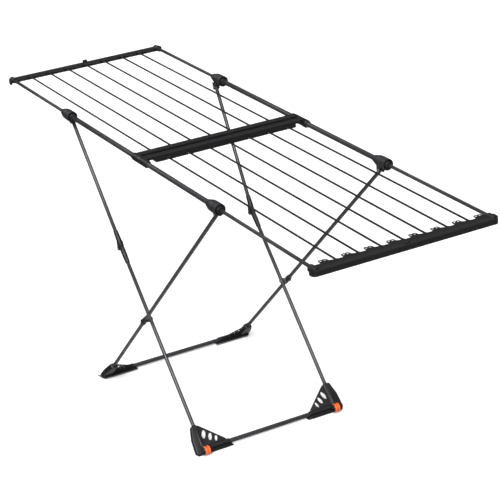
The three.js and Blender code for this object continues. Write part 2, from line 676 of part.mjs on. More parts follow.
// The bracket's plate lies in the plane of the leg and the foot bar: u runs inboard from the leg, v up
// along it. It is thick round the leg and the foot bar and a thin web between them, with three oval
// holes. The sole under it is flat on the floor, or on the rubber pad, and ends in a thin tongue.
function bracketPlate() {
  const outline = polygon(BRACKET_EDGE);
  for (const hole of BRACKET_HOLES) {
    const oval = new THREE.Path();
    const { halfWidth, halfLength } = hole;
    oval.absellipse(hole.inboard, hole.up, halfWidth, halfLength, 0, 2 * Math.PI, true, -BRACKET_HOLE_TILT);
    outline.holes.push(oval);
  }
  const plate = solid(prism(outline, BRACKET.thickness).translate(0, 0, -BRACKET.thickness / 2));
  const { inboard, bottom, thickness } = BRACKET_WEB;
  const beyond = BRACKET.toeReach + BRACKET.top;
  const above = box(point(inboard, bottom, thickness / 2), point(beyond, beyond, BRACKET.thickness));
  const below = box(point(inboard, bottom, -BRACKET.thickness), point(beyond, beyond, -thickness / 2));
  return cut(plate, solid(above), solid(below));
}

function footBracket(name, side, foot, legTop, legInboard, options) {
  const legY = side.sign * (railY - legInboard);
  const up = unit(foot, legTop);
  const inboard = point(0, -side.sign, 0);
  const inPlane = new THREE.Matrix4().makeBasis(inboard, up, new THREE.Vector3().crossVectors(inboard, up));
  inPlane.setPosition(atY(foot, legY));
  const plate = bracketPlate().transform(inPlane.elements);
  const yAt = (distance) => legY - side.sign * distance;
  const spanBox = (fromU, toU, halfX, lowZ, highZ) =>
    solid(
      box(
        point(foot.x - halfX, Math.min(yAt(fromU), yAt(toU)), lowZ),
        point(foot.x + halfX, Math.max(yAt(fromU), yAt(toU)), highZ),
      ),
    );
  const heel = PAD.heel - BRACKET.outboard;
  const soleTop = FOOT_AXIS_HEIGHT + BRACKET.soleRise;
  const sole = spanBox(heel, BRACKET.toeReach, BRACKET.sole / 2, options.soleZ, soleTop);
  const tongueHalf = TONGUE.width / 2;
  const tongueTop = options.soleZ + TONGUE.rise;
  const tongue = spanBox(BRACKET.toeReach - 1, TONGUE.reach, tongueHalf, options.soleZ, tongueTop);
  const farAway = 2 * TONGUE.reach;
  const below = spanBox(-farAway, farAway, farAway, -farAway, options.soleZ);
  const legSocketFrom = atY(foot, legY).addScaledVector(up, LEG_SEAT - GAP);
  const legSocketTo = atY(legTop, side.sign * (railY - options.legTopInboard));
  const legSocket = solid(rod(legSocketFrom, legSocketTo, LEG.outer + GAP, TUBE_SIDES));
  const barSocketFrom = atY(foot, yAt(options.barStart - GAP));
  const barSocket = solid(rod(barSocketFrom, atY(foot, yAt(farAway)), FOOT_BAR.outer + GAP, TUBE_SIDES));
  let body = cut(joined(plate, sole, tongue), below, legSocket, barSocket);
  if (options.wheel) {
    const centre = point(foot.x + WHEEL.forward, 0, foot.z + WHEEL.up);
    const half = WHEEL.width / 2 + WHEEL_POCKET_GAP;
    const cheekSpan = half + WHEEL_CHEEK.thickness;
    const drum = (reach, radius) => {
      const outer = atY(centre, yAt(WHEEL.inboard - reach));
      const inner = atY(centre, yAt(WHEEL.inboard + reach));
      return solid(rod(outer, inner, radius, ROUND_SIDES));
    };
    const pocket = drum(half, WHEEL.radius + WHEEL_POCKET_GAP);
    const axleHole = drum(cheekSpan + 1, AXLE_RADIUS + GAP);
    body = cut(joined(body, drum(cheekSpan, WHEEL_CHEEK.radius)), pocket, axleHole, below);
  }
  addPiece(name, geometryOf(body), plastic);
}

function wheel(side) {
  const y = side.sign * (railY - LEG_A_INBOARD.foot - WHEEL.inboard);
  const half = WHEEL.width / 2;
  const { radius, bore, chamfer } = WHEEL;
  const { halfWidth, flare, depth } = WHEEL_GROOVE;
  const profile = [
    [-half, bore],
    [-half, radius - chamfer],
    [-half + chamfer, radius],
    [-halfWidth - flare, radius],
    [-halfWidth, radius - depth],
    [halfWidth, radius - depth],
    [halfWidth + flare, radius],
    [half - chamfer, radius],
    [half, radius - chamfer],
    [half, bore],
    [-half, bore],
  ];
  const start = point(footA.x + WHEEL.forward, y, footA.z + WHEEL.up);
  addPiece(`wheel_${side.name}`, turned(start, point(0, 1, 0), profile, ROUND_SIDES), orangePlastic);
}

function wheelAxle(side) {
  const y = side.sign * (railY - LEG_A_INBOARD.foot - WHEEL.inboard);
  const reach = WHEEL.width / 2 + WHEEL_POCKET_GAP + WHEEL_CHEEK.thickness - GAP;
  const low = point(footA.x + WHEEL.forward, y - reach, footA.z + WHEEL.up);
  const high = point(footA.x + WHEEL.forward, y + reach, footA.z + WHEEL.up);
  addPiece(`wheel_axle_${side.name}`, rod(low, high, AXLE_RADIUS, SMALL_SIDES), pinSteel);
}

function footPad(side) {
  const legY = railY - LEG_B_INBOARD.foot;
  const half = BRACKET.sole / 2;
  const outer = legY + BRACKET.outboard - PAD.heel;
  const inner = legY - TONGUE.reach;
  const outline = polygon([
    [half, inner],
    [half, outer - PAD.heelCut],
    [half - PAD.toeCut, outer],
    [-PAD.tipBack, legY + PAD.tipOut],
    [-half, outer - PAD.tailCut],
    [-half, inner],
  ]);
  const pad = solid(prism(outline, PAD.thickness - GAP));
  const placed = side.sign > 0 ? pad : pad.mirror([0, 1, 0]);
  const piece = addPiece(`foot_pad_${side.name}`, geometryOf(placed), rubber);
  piece.position.set(footB.x, 0, 0);
}

// Each foot bar starts beyond the wheel's housing, or beyond the leg, and reaches to the other side
const nearBarStart = WHEEL.inboard + WHEEL.width / 2 + WHEEL_POCKET_GAP + WHEEL_CHEEK.thickness;
const farBarStart = LEG.outer + FOOT_BAR_STOP;

for (const side of sides) {
  centreRail(side);
  for (const half of halves) {
    extensionRail(half, side);
  }
  legCollar(`leg_collar_far_${side.name}`, side, legATop, LEG_A_INBOARD.top);
  legCollar(`leg_collar_near_${side.name}`, side, legBTop, LEG_B_INBOARD.top);
  topPin(`top_pin_far_${side.name}`, side, legATop, LEG_A_INBOARD.top);
  topPin(`top_pin_near_${side.name}`, side, legBTop, LEG_B_INBOARD.top);
  legAUpper(side);
  legALower(side);
  legB(side);
  kneeUpper(side);
  kneeLower(side);
  kneePin(side);
  crossingBlock(side);
  crossingPin(side);
  footBracket(`foot_bracket_near_${side.name}`, side, footA, knee, LEG_A_INBOARD.foot, {
    soleZ: 0,
    barStart: nearBarStart,
    legTopInboard: LEG_A_INBOARD.knee,
    wheel: true,
  });
  footBracket(`foot_bracket_far_${side.name}`, side, footB, legBTop, LEG_B_INBOARD.foot, {
    soleZ: PAD.thickness,
    barStart: farBarStart,
    legTopInboard: LEG_B_INBOARD.top,
    wheel: false,
  });
  wheel(side);
  wheelAxle(side);
  footPad(side);
}
for (const half of halves) {
  endBar(half);
  innerBar(half);
  for (let index = 0; index < LINE_COUNT; index += 1) {
    line(half, index);
  }
}
footBar("foot_bar_near", footA, LEG_A_INBOARD.foot, nearBarStart);
footBar("foot_bar_far", footB, LEG_B_INBOARD.foot, farBarStart);

export default rack;
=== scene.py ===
"""Visible pieces and finishes of a folding clothes drying rack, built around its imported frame.

Sizes are in millimetres inside the shape functions and become metres when a piece is made.
Every piece is placed from the frame's own nodes and joints.
"""

import json
import math

import bpy
import numpy as np
from mathutils import Matrix, Vector


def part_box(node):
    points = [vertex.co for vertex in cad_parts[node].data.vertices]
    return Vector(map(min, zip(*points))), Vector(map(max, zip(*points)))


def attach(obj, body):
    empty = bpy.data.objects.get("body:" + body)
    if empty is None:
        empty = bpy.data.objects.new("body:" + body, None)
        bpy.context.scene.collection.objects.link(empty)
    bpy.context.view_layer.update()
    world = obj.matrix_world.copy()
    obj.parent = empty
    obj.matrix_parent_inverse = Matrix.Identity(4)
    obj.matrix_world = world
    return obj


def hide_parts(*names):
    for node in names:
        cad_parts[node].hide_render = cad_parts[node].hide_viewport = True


bl_info = {
    "name": "Clothes drying rack",
    "version": (1, 0, 0),
    "blender": (4, 5, 0),
    "location": "View3D > Sidebar > Drying rack",
    "description": "Builds the visible pieces of a folding clothes drying rack around its frame",
    "category": "Add Mesh",
}

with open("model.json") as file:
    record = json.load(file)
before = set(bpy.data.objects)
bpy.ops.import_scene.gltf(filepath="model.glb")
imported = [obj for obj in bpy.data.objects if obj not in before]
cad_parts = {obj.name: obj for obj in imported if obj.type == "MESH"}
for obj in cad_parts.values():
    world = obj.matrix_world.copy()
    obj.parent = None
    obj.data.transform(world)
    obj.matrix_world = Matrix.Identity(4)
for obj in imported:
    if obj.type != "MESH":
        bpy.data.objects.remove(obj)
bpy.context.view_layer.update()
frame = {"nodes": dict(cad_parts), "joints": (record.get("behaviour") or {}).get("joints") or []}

MM = 0.001
SIDES = ("left", "right")
HALVES = ("far", "near")
LINE_COUNT = 7
ROUND = 40  # steps round a large turned piece
SMALL_ROUND = 20
LINE_ROUND = 12
SMOOTH_ANGLE = math.radians(32)


def side_sign(side):
    """+1 for the right side and -1 for the left."""
    return -1.0 if side == "left" else 1.0


def half_sign(half):
    """+1 for the near half and -1 for the far half."""
    return -1.0 if half == "far" else 1.0


# ---------------------------------------------------------------- measures taken from the frame


def node_points(node):
    """Distinct vertices of a frame node, in millimetres."""
    mesh = frame["nodes"][node].data
    flat = np.empty(len(mesh.vertices) * 3)
    mesh.vertices.foreach_get("co", flat)
    return np.unique(np.round(flat.reshape(-1, 3) / MM, 3), axis=0)


def node_box(node):
    """Lowest and highest corners of a node at rest, in millimetres."""
    low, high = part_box(node)
    return np.array(low) / MM, np.array(high) / MM


def node_middle(node):
    """Middle of a node's box."""
    low, high = node_box(node)
    return (low + high) / 2


def tube_measure(node):
    """Axis ends, outer radius and bore radius of a straight tube node.

    The direction is the one of greatest spread, made exact by joining the middles of the two end
    rings; the radii are the largest and smallest distances of the end rings from that axis."""
    points = node_points(node)
    middle = points.mean(axis=0)
    direction = np.linalg.svd(points - middle, full_matrices=False)[2][0]
    if direction[np.argmax(np.abs(direction))] < 0:
        direction = -direction
    reach = (points - middle) @ direction
    low_ring = points[reach < reach.min() + 1.0]
    high_ring = points[reach > reach.max() - 1.0]
    start = low_ring.mean(axis=0)
    end = high_ring.mean(axis=0)
    axis = (end - start) / np.linalg.norm(end - start)
    offset = low_ring - start
    distance = np.linalg.norm(offset - np.outer(offset @ axis, axis), axis=1)
    return start, end, distance.max(), distance.min()


def joint_place(name):
    joint = next(j for j in frame["joints"] if j["name"] == name)
    return np.array(joint["pos_m"]) / MM


# ---------------------------------------------------------------- surfaces


def placed(origin, x_axis, y_axis, z_axis):
    """4 x 4 matrix from a local frame, in millimetres, to the rack's frame."""
    matrix = np.eye(4)
    matrix[:3, 0] = x_axis
    matrix[:3, 1] = y_axis
    matrix[:3, 2] = z_axis
    matrix[:3, 3] = origin
    return matrix


def moved(shell, matrix):
    points, faces = shell
    return points @ matrix[:3, :3].T + matrix[:3, 3], faces


def unit(vector):
    """A direction with length one."""
    return np.asarray(vector, float) / np.linalg.norm(vector)


def axes_along(direction):
    """Two unit vectors square to a direction and to each other."""
    direction = unit(direction)
    helper = np.array([0.0, 0.0, 1.0]) if abs(direction[2]) < 0.9 else np.array([0.0, 1.0, 0.0])
    across = unit(np.cross(helper, direction))
    return across, np.cross(direction, across)


def skin(rings, closed_path=False):
    """Closed shell through a stack of rings, an array of shape (rings, points, 3): quads join each
    ring to the next, and a flat cap closes the first and last unless the path itself closes."""
    count, size = rings.shape[:2]
    index = np.arange(count * size).reshape(count, size)
    lower = index if closed_path else index[:-1]
    upper = np.roll(index, -1, axis=0) if closed_path else index[1:]
    quads = np.stack(
        [lower, np.roll(lower, -1, axis=1), np.roll(upper, -1, axis=1), upper], axis=-1
    ).reshape(-1, 4)
    faces = quads.tolist()
    if not closed_path:
        faces.append(index[0][::-1].tolist())
        faces.append(index[-1].tolist())
    return rings.reshape(-1, 3), faces


def turned(stations, start, direction, sides=ROUND, closed=False):
    """Surface of revolution: each station is (distance along the axis, radius), and every ring is
    start + distance * axis + radius * (cos a, sin a) in the plane square to it."""
    stations = np.asarray(stations, float)
    axis = unit(direction)
    across, upright = axes_along(axis)
    angle = np.linspace(0, 2 * math.pi, sides, endpoint=False)
    circle = np.outer(np.cos(angle), across) + np.outer(np.sin(angle), upright)
    rings = (
        np.asarray(start, float)
        + stations[:, 0, None, None] * axis
        + stations[:, 1, None, None] * circle
    )
    return skin(rings, closed_path=closed)


def tube(start, end, outer, bore, sides=ROUND, lip=0.4):
    """Open-ended tube: a closed profile of wall and two softened lips, turned round the axis."""
    length = np.linalg.norm(np.asarray(end) - np.asarray(start))
    profile = [
        (0, bore + lip),
        (0, outer - lip),
        (lip * 0.3, outer - lip * 0.3),
        (lip, outer),
        (length - lip, outer),
        (length - lip * 0.3, outer - lip * 0.3),
        (length, outer - lip),
        (length, bore + lip),
        (length - lip, bore),
        (lip, bore),
    ]
    return turned(profile, start, np.asarray(end) - np.asarray(start), sides, closed=True)


def rod(start, end, radius, sides=SMALL_ROUND, rounding=0.5):
    """Solid bar with quarter-round ends: radius r - c + c sin a at distance c - c cos a."""
    length = np.linalg.norm(np.asarray(end) - np.asarray(start))
    angle = np.linspace(0, math.pi / 2, 4)
    rim = radius - rounding + rounding * np.sin(angle)
    into = rounding - rounding * np.cos(angle)
    stations = [*zip(into, rim), *zip(length - into[::-1], rim[::-1])]
    return turned(stations, start, np.asarray(end) - np.asarray(start), sides)


def domed_pin(start, end, shank, head, dome, sides=SMALL_ROUND):
    """Rivet: a shank with a head at each end, whose radius falls as the cosine of its height."""
    length = np.linalg.norm(np.asarray(end) - np.asarray(start))
    angle = np.linspace(0, math.radians(80), 5)
    cap = [(dome * math.sin(a), head * math.cos(a)) for a in angle]
    low = [(-height, radius) for height, radius in cap[::-1]]
    high = [(length + height, radius) for height, radius in cap]
    stations = [*low, (0, shank), (length, shank), *high]
    return turned(stations, start, np.asarray(end) - np.asarray(start), sides)


def rounded_outline(corners, radii, steps=6):
    """Closed outline whose corners are arcs: at each corner the arc starts radius / tan(half angle)
    before it and turns evenly on to the next edge."""
    corners = np.asarray(corners, float)
    radii = np.broadcast_to(radii, len(corners))
    outline = []
    for index, corner in enumerate(corners):
        back = unit(corners[index - 1] - corner)
        ahead = unit(corners[(index + 1) % len(corners)] - corner)
        half = math.acos(np.clip(back @ ahead, -1, 1)) / 2
        radius = radii[index]
        if radius < 1e-6:
            outline.append(corner[None])
            continue
        centre = corner + unit(back + ahead) * radius / math.sin(half)
        start = corner + back * radius / math.tan(half) - centre
        end = corner + ahead * radius / math.tan(half) - centre
        turn = np.linspace(0, 1, steps + 1)[:, None]
        sweep = math.acos(np.clip(unit(start) @ unit(end), -1, 1))
        arc = (np.sin((1 - turn) * sweep) * start + np.sin(turn * sweep) * end) / math.sin(sweep)
        outline.append(centre + arc)
    return np.concatenate(outline)


def oval(centre, half_width, half_length, steps=28, tilt=0.0):
    """Ellipse whose long way leans by tilt from its second axis towards its first."""
    angle = np.linspace(0, 2 * math.pi, steps, endpoint=False)
    wide = half_width * np.cos(angle)
    tall = half_length * np.sin(angle)
    first = centre[0] + wide * math.cos(tilt) + tall * math.sin(tilt)
    second = centre[1] - wide * math.sin(tilt) + tall * math.cos(tilt)
    return np.stack([first, second], axis=1)


def doubled_area(outline):
    """Twice an outline's area, by the shoelace sum: positive where it runs anticlockwise."""
    u, v = outline[:, 0], outline[:, 1]
    return np.sum(u * np.roll(v, -1) - v * np.roll(u, -1))


def inset(outline, distance):
    """Outline moved inwards along the average of its two edge normals at each point."""
    ahead = np.roll(outline, -1, axis=0) - outline
    ahead /= np.linalg.norm(ahead, axis=1)[:, None]
    back = np.roll(ahead, 1, axis=0)
    normal = np.stack([-(ahead[:, 1] + back[:, 1]), ahead[:, 0] + back[:, 0]], axis=1)
    scale = 1 / np.clip((normal**2).sum(axis=1) / 2, 0.35, None)
    area = doubled_area(outline)
    return outline + math.copysign(distance, area) * normal * scale[:, None]


def slab(outline, low, high, rim=0.6, steps=3):
    """Plate with quarter-round rims: the outline stacked from low to high, drawn in by
    rim * (1 - sin a) near each face. A negative rim flares instead, for a cutter that leaves
    softened edges round its hole."""
    angle = np.linspace(0, math.pi / 2, steps + 1)
    size = abs(rim)
    heights = size * (1 - np.cos(angle))
    insets = rim * (1 - np.sin(angle))
    levels = [*zip(low + heights, insets), *zip(high - heights[::-1], insets[::-1])]
    rings = [np.column_stack([inset(outline, i), np.full(len(outline), z)]) for z, i in levels]
    if doubled_area(outline) < 0:
        rings = [ring[::-1] for ring in rings]
    return skin(np.array(rings))


def block(low, high, rounding=0.6):
    """Box with rounded upright corners and rims."""
    outline = rounded_outline(
        [(low[0], low[1]), (high[0], low[1]), (high[0], high[1]), (low[0], high[1])],
        rounding + 0.2,
        steps=3,
    )
    return slab(outline, low[2], high[2], rounding)


# ---------------------------------------------------------------- making pieces


def mesh_from(name, shell):
    points, faces = shell
    mesh = bpy.data.meshes.new(name)
    mesh.from_pydata(np.asarray(points) * MM, [], faces)
    mesh.validate()
    return mesh


def temporary(name, shell):
    work = bpy.data.objects.new(name, mesh_from(name, shell))
    bpy.context.scene.collection.objects.link(work)
    return work


def combined(name, parts, cuts=(), within=None):
    """One mesh from closed shells: the parts joined, the cuts taken away, and what lies outside
    the shell called within dropped."""
    base = temporary(name, parts[0])
    helpers = []
    steps = [("UNION", shell) for shell in parts[1:]]
    if within is not None:
        steps.insert(0, ("INTERSECT", within))
    steps += [("DIFFERENCE", shell) for shell in cuts]
    for operation, shell in steps:
        helper = temporary(name + "_tool", shell)
        helpers.append(helper)
        boolean = base.modifiers.new(operation.title(), "BOOLEAN")
        boolean.operation = operation
        boolean.solver = "MANIFOLD"
        boolean.object = helper
    graph = bpy.context.evaluated_depsgraph_get()
    mesh = bpy.data.meshes.new_from_object(base.evaluated_get(graph))
    for work in [base, *helpers]:
        data = work.data
        bpy.data.objects.remove(work)
        bpy.data.meshes.remove(data)
    if not mesh.polygons:
        raise RuntimeError(f"{name}: joining its shells left nothing")
    mesh.name = name
    return mesh


def add_piece(name, mesh, finish, body, nodes):
    """Puts a finished mesh in the scene as the piece that stands for these frame nodes."""
    mesh.materials.clear()
    mesh.materials.append(finish)
    mesh.polygons.foreach_set("use_smooth", np.ones(len(mesh.polygons), bool))
    mesh.set_sharp_from_angle(angle=SMOOTH_ANGLE)
    piece = bpy.data.objects.new(name, mesh)
    bpy.context.scene.collection.objects.link(piece)
    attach(piece, body)
    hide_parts(*nodes)
    return piece


# ---------------------------------------------------------------- shader maths


class Value:
    """A shader socket that can be used in Python expressions; each operator adds a Math node."""

    def __init__(self, finish, socket):
        self.finish = finish
        self.socket = socket

    def maths(self, operation, first, second):
        values = {0: first, 1: second}
        return self.finish.add("ShaderNodeMath", {"operation": operation}, values).value("Value")

    def __add__(self, other):
        return self.maths("ADD", self, other)

    __radd__ = __add__

    def __mul__(self, other):
        return self.maths("MULTIPLY", self, other)

    __rmul__ = __mul__

    def __sub__(self, other):
        return self.maths("SUBTRACT", self, other)

    def __rsub__(self, other):
        return self.maths("SUBTRACT", other, self)

    def __pow__(self, other):
        return self.maths("POWER", self, other)

    def __gt__(self, other):
        return self.maths("GREATER_THAN", self, other)

    def clamped(self):
        return self.finish.add(
            "ShaderNodeClamp", {}, {"Value": self, "Min": 0.0, "Max": 1.0}
        ).value("Result")


class Added:
    """A node just added to a finish, whose outputs are asked for by name."""

    def __init__(self, finish, node):
        self.finish = finish
        self.node = node

    def value(self, output):
        return Value(self.finish, self.node.outputs[output])


class Finish:
    """A procedural material: a Principled shader and the nodes that feed it."""

    def __init__(self, name):
        self.material = bpy.data.materials.new(name)
        self.material.use_nodes = True
        self.tree = self.material.node_tree
        self.tree.nodes.clear()
        self.shader = self.add("ShaderNodeBsdfPrincipled", {}, {}).node
        output = self.add("ShaderNodeOutputMaterial", {}, {}).node
        self.tree.links.new(self.shader.outputs["BSDF"], output.inputs["Surface"])
        self.place = self.add("ShaderNodeTexCoord", {}, {}).value("Object")

    def add(self, kind, settings, values):
        """Adds a node: its settings are set first, then the values or links of its sockets."""
        node = self.tree.nodes.new(kind)
        for setting, choice in settings.items():
            setattr(node, setting, choice)
        for socket, value in values.items():
            self.feed(node.inputs[socket], value)
        return Added(self, node)

    def feed(self, socket, value):
        if isinstance(value, Value):
            self.tree.links.new(value.socket, socket)
        else:
            socket.default_value = value

    def noise(self, scale, detail=2.0, roughness=0.5, stretch=None):
        """Fractal noise on the piece's own coordinates, optionally stretched along an axis."""
        place = self.place
        if stretch is not None:
            place = self.add("ShaderNodeMapping", {}, {"Vector": place, "Scale": stretch}).value("Vector")
        values = {"Vector": place, "Scale": scale, "Detail": detail, "Roughness": roughness}
        return self.add("ShaderNodeTexNoise", {}, values).value("Fac")

    def cells(self, scale):
        values = {"Vector": self.place, "Scale": scale}
        return self.add("ShaderNodeTexVoronoi", {}, values).value("Distance")

    def between(self, factor, first, second):
        """Colour mixed from first to second by a factor."""
        settings = {"data_type": "RGBA"}
        values = {"Factor": factor, 6: (*first, 1.0), 7: (*second, 1.0)}
        return Value(self, self.add("ShaderNodeMix", settings, values).node.outputs[2])

    def bump(self, height, distance, strength=1.0):
        values = {"Height": height, "Distance": distance, "Strength": strength}
        return self.add("ShaderNodeBump", {}, values).value("Normal")

    def set(self, **sockets):
        """Feeds the shader's sockets; an underscore in a name stands for a space."""
        for name, value in sockets.items():
            self.feed(self.shader.inputs[name.replace("_", " ")], value)
        return self.material


def shaded(colour, factor):
    """A colour made lighter or darker."""
    return tuple(min(1.0, channel * factor) for channel in colour[:3])


def powder_coat(name, colour):
    """Powder-coated steel: orange-peel bump a millimetre across, speckle, and slow tone drift."""
    finish = Finish(name)
    peel = finish.noise(900.0, detail=2.0)
    drift = finish.noise(14.0, detail=3.0)
    speckle = (finish.noise(2600.0, detail=1.0) - 0.58).clamped() * 3.0
    tone = (drift * 0.8 + speckle * 0.5).clamped()
    return finish.set(
        Base_Color=finish.between(tone, shaded(colour, 0.82), shaded(colour, 1.3)),
        Roughness=0.2 + 0.1 * peel + 0.06 * drift,
        Metallic=0.3,
        Normal=finish.bump(peel, 0.0002, 0.2),
    )


def line_coat(name, colour):
    """Plastic-dipped line wire: smooth, with faint drawn streaks along it and slight thick spots."""
    finish = Finish(name)
    streak = finish.noise(300.0, detail=2.0, stretch=(0.03, 1.0, 1.0))
    spots = finish.noise(60.0, detail=2.0)
    return finish.set(
        Base_Color=finish.between(spots, shaded(colour, 0.8), shaded(colour, 1.25)),
        Roughness=0.36 + 0.14 * streak,
        Specular_IOR_Level=0.25,
        Normal=finish.bump(streak + spots, 0.0001, 0.3),
    )


def moulded_plastic(name, colour, grain=1600.0, roughness=0.36):
    """Injection-moulded plastic: fine spark-eroded grain, faint flow marks and rubbed patches."""
    finish = Finish(name)
    pits = finish.cells(grain)
    flow = finish.noise(22.0, detail=3.0, stretch=(1.0, 0.45, 1.0))
    rubbed = (finish.noise(45.0, detail=4.0) - 0.55).clamped() * 2.2
    wear = (flow * 0.7 + rubbed * 0.4).clamped()
    return finish.set(
        Base_Color=finish.between(wear, shaded(colour, 0.8), shaded(colour, 1.4)),
        Roughness=(roughness + 0.16 * pits - 0.12 * rubbed).clamped(),
        Specular_IOR_Level=0.5,
        Normal=finish.bump(pits + 0.4 * flow, 0.00012, 0.4),
    )


def pad_rubber(name, colour):
    """Grey rubber: dull, with coarse bloom and a soft uneven surface."""
    finish = Finish(name)
    bloom = finish.noise(120.0, detail=5.0, roughness=0.65)
    return finish.set(
        Base_Color=finish.between(bloom, shaded(colour, 0.75), shaded(colour, 1.35)),
        Roughness=0.7 + 0.2 * bloom,
        Normal=finish.bump(bloom, 0.0002, 0.4),
    )


def plated_steel(name, colour):
    """Zinc-plated rivet steel with a fine bump and a mottled sheen."""
    finish = Finish(name)
    mottle = finish.noise(180.0, detail=3.0)
    fine = finish.noise(1500.0, detail=2.0)
    return finish.set(
        Base_Color=finish.between(mottle, shaded(colour, 0.8), shaded(colour, 1.2)),
        Metallic=1.0,
        Roughness=0.28 + 0.2 * mottle,
        Normal=finish.bump(fine, 0.00005, 0.3),
    )


# ---------------------------------------------------------------- what a user may change


class RackSizes(bpy.types.PropertyGroup):
    edge_rounding: bpy.props.FloatProperty(
        name="Edge rounding",
        description="Radius of the softened edges of the moulded pieces",
        default=0.8 * MM,
        min=0.2 * MM,
        max=1.5 * MM,
        unit="LENGTH",
        precision=4,
    )
    shell_wall: bpy.props.FloatProperty(
        name="Shell wall",
        description="Wall thickness of the hollow end bars and brackets",
        default=2.4 * MM,
        min=1.2 * MM,
        max=3.5 * MM,
        unit="LENGTH",
        precision=4,
    )
    web_thickness: bpy.props.FloatProperty(
        name="Bracket web",
        description="Thickness of the pierced web of each foot bracket",
        default=3.5 * MM,
        min=2 * MM,
        max=10 * MM,
        unit="LENGTH",
        precision=4,
    )


def colour_property(name, description, default):
    return bpy.props.FloatVectorProperty(
        name=name, description=description, default=default, size=3, subtype="COLOR", min=0, max=1
    )


class RackColours(bpy.types.PropertyGroup):
    tube: colour_property("Tubes", "Powder coat of the rails, legs and foot bars", (0.032, 0.032, 0.036))
    line: colour_property("Lines", "Coating of the drying lines", (0.008, 0.008, 0.009))
    plastic: colour_property("Black plastic", "Bars, knees and feet", (0.004, 0.004, 0.005))
    collar: colour_property("Collars", "Leg collars on the rails", (0.014, 0.014, 0.016))
    wheel: colour_property("Wheels", "Wheels in the near feet", (0.66, 0.115, 0.022))
    rubber: colour_property("Pads", "Pads under the far feet", (0.15, 0.15, 0.16))
    pin: colour_property("Pins", "Rivets and axles", (0.30, 0.30, 0.32))


def sizes():
    """The sizes set in the panel."""
    return bpy.context.scene.rack_sizes


def colours():
    """The colours set in the panel."""
    return bpy.context.scene.rack_colours


def finish_of(key):
    """The material of one finish, made once and shared."""
    name = "rack_" + key
    if name in bpy.data.materials:
        return bpy.data.materials[name]
    colour = tuple(getattr(colours(), key))
    makers = {
        "tube": lambda: powder_coat(name, colour),
        "line": lambda: line_coat(name, colour),
        "plastic": lambda: moulded_plastic(name, colour),
        "collar": lambda: moulded_plastic(name, colour, grain=1300.0, roughness=0.4),
        "wheel": lambda: moulded_plastic(name, colour, grain=900.0, roughness=0.38),
        "rubber": lambda: pad_rubber(name, colour),
        "pin": lambda: plated_steel(name, colour),
    }
    return makers[key]()


# ---------------------------------------------------------------- tubes and lines


def tube_piece(node, body):
    """Round tube that stands for one node, measured from that node."""
    start, end, outer, bore = tube_measure(node)
    mesh = mesh_from(node + "_tube", tube(start, end, outer, bore))
    add_piece(node + "_tube", mesh, finish_of("tube"), body, [node])


def add_plastic(name, mesh, body, node):
    """Piece of black plastic that stands for one node."""
    add_piece(name, mesh, finish_of("plastic"), body, [node])


def add_rivet(node, mesh_parts, body):
    """Steel pin that stands for one node."""
    name = node + "_rivet"
    add_piece(name, mesh_from(name, mesh_parts), finish_of("pin"), body, [node])


class RACK_OT_tubes(bpy.types.Operator):
    """Make the rails, the legs and the foot bars"""

    bl_idname = "rack.tubes"
    bl_label = "Rails, legs and foot bars"

    def execute(self, context):
        for side in SIDES:
            tube_piece(f"centre_rail_{side}", "centre_frame")
            for half in HALVES:
                tube_piece(f"extension_rail_{half}_{side}", f"{half}_line_frame")
            tube_piece(f"leg_a_upper_{side}", "upper_legs")
            tube_piece(f"leg_a_lower_{side}", "lower_legs")
            tube_piece(f"leg_b_{side}", "long_legs")
        tube_piece("foot_bar_near", "lower_legs")
        tube_piece("foot_bar_far", "long_legs")
        return {"FINISHED"}


class RACK_OT_lines(bpy.types.Operator):
    """Make the drying lines of both halves"""

    bl_idname = "rack.lines"
    bl_label = "Drying lines"

    def execute(self, context):
        for half in HALVES:
            for number in range(1, LINE_COUNT + 1):
                node = f"line_{half}_{number}"
                start, end, radius, _ = tube_measure(node)
                mesh = mesh_from(node + "_wire", rod(start, end, radius, LINE_ROUND, rounding=0.8))
                body = f"{half}_line_frame"
                add_piece(node + "_wire", mesh, finish_of("line"), body, [node])
        return {"FINISHED"}


# ---------------------------------------------------------------- end bars

# All in millimetres from the bar's own axis: x outwards, z up from the rail axes.
END_BAR_TOP = 5.5
END_BAR_UNDERSIDE = -4.5
END_BAR_SKIRT = -15.5
END_BAR_SKIRT_WIDTH = 7.0
END_BAR_WRAP = 22.0
END_BAR_HALF = 15.5
END_CORNER = 14.0
EYELET_SPACING = 12.5
EYELET_HOLE = 4.3
EYELET_RING = 7.0
EYELET_REACH = 22.0
TAB_LOW = 1.3
TAB_HIGH = 3.5


def half_frame(half, height):
    """Local frame of a half's bar: x points away from the middle of the rack."""
    sign = half_sign(half)
    return lambda x: placed((sign * x, 0, height), (sign, 0, 0), (0, sign, 0), (0, 0, 1))


def crown_section():
    """Outline of the end bar's upper part: flat on top, falling away in a long brow outwards."""
    half = END_BAR_HALF
    corners = [
        (-half, END_BAR_UNDERSIDE),
        (half, END_BAR_UNDERSIDE),
        (half, -1.0),
        (half - 2.0, END_BAR_TOP - 3.2),
        (half - 9.5, END_BAR_TOP),
        (-half, END_BAR_TOP),
    ]
    return rounded_outline(corners, [1.2, 0.4, 2.0, 3.0, 8.0, 2.8], steps=5)


def end_bar_plan(end, margin=0.0):
    """Outline of the end bar from above, with large round corners on its outer side."""
    half = END_BAR_HALF - margin
    corners = [(-half, -end), (half, -end), (half, end), (-half, end)]
    return rounded_outline(corners, [3.0, END_CORNER, END_CORNER, 3.0], steps=12)


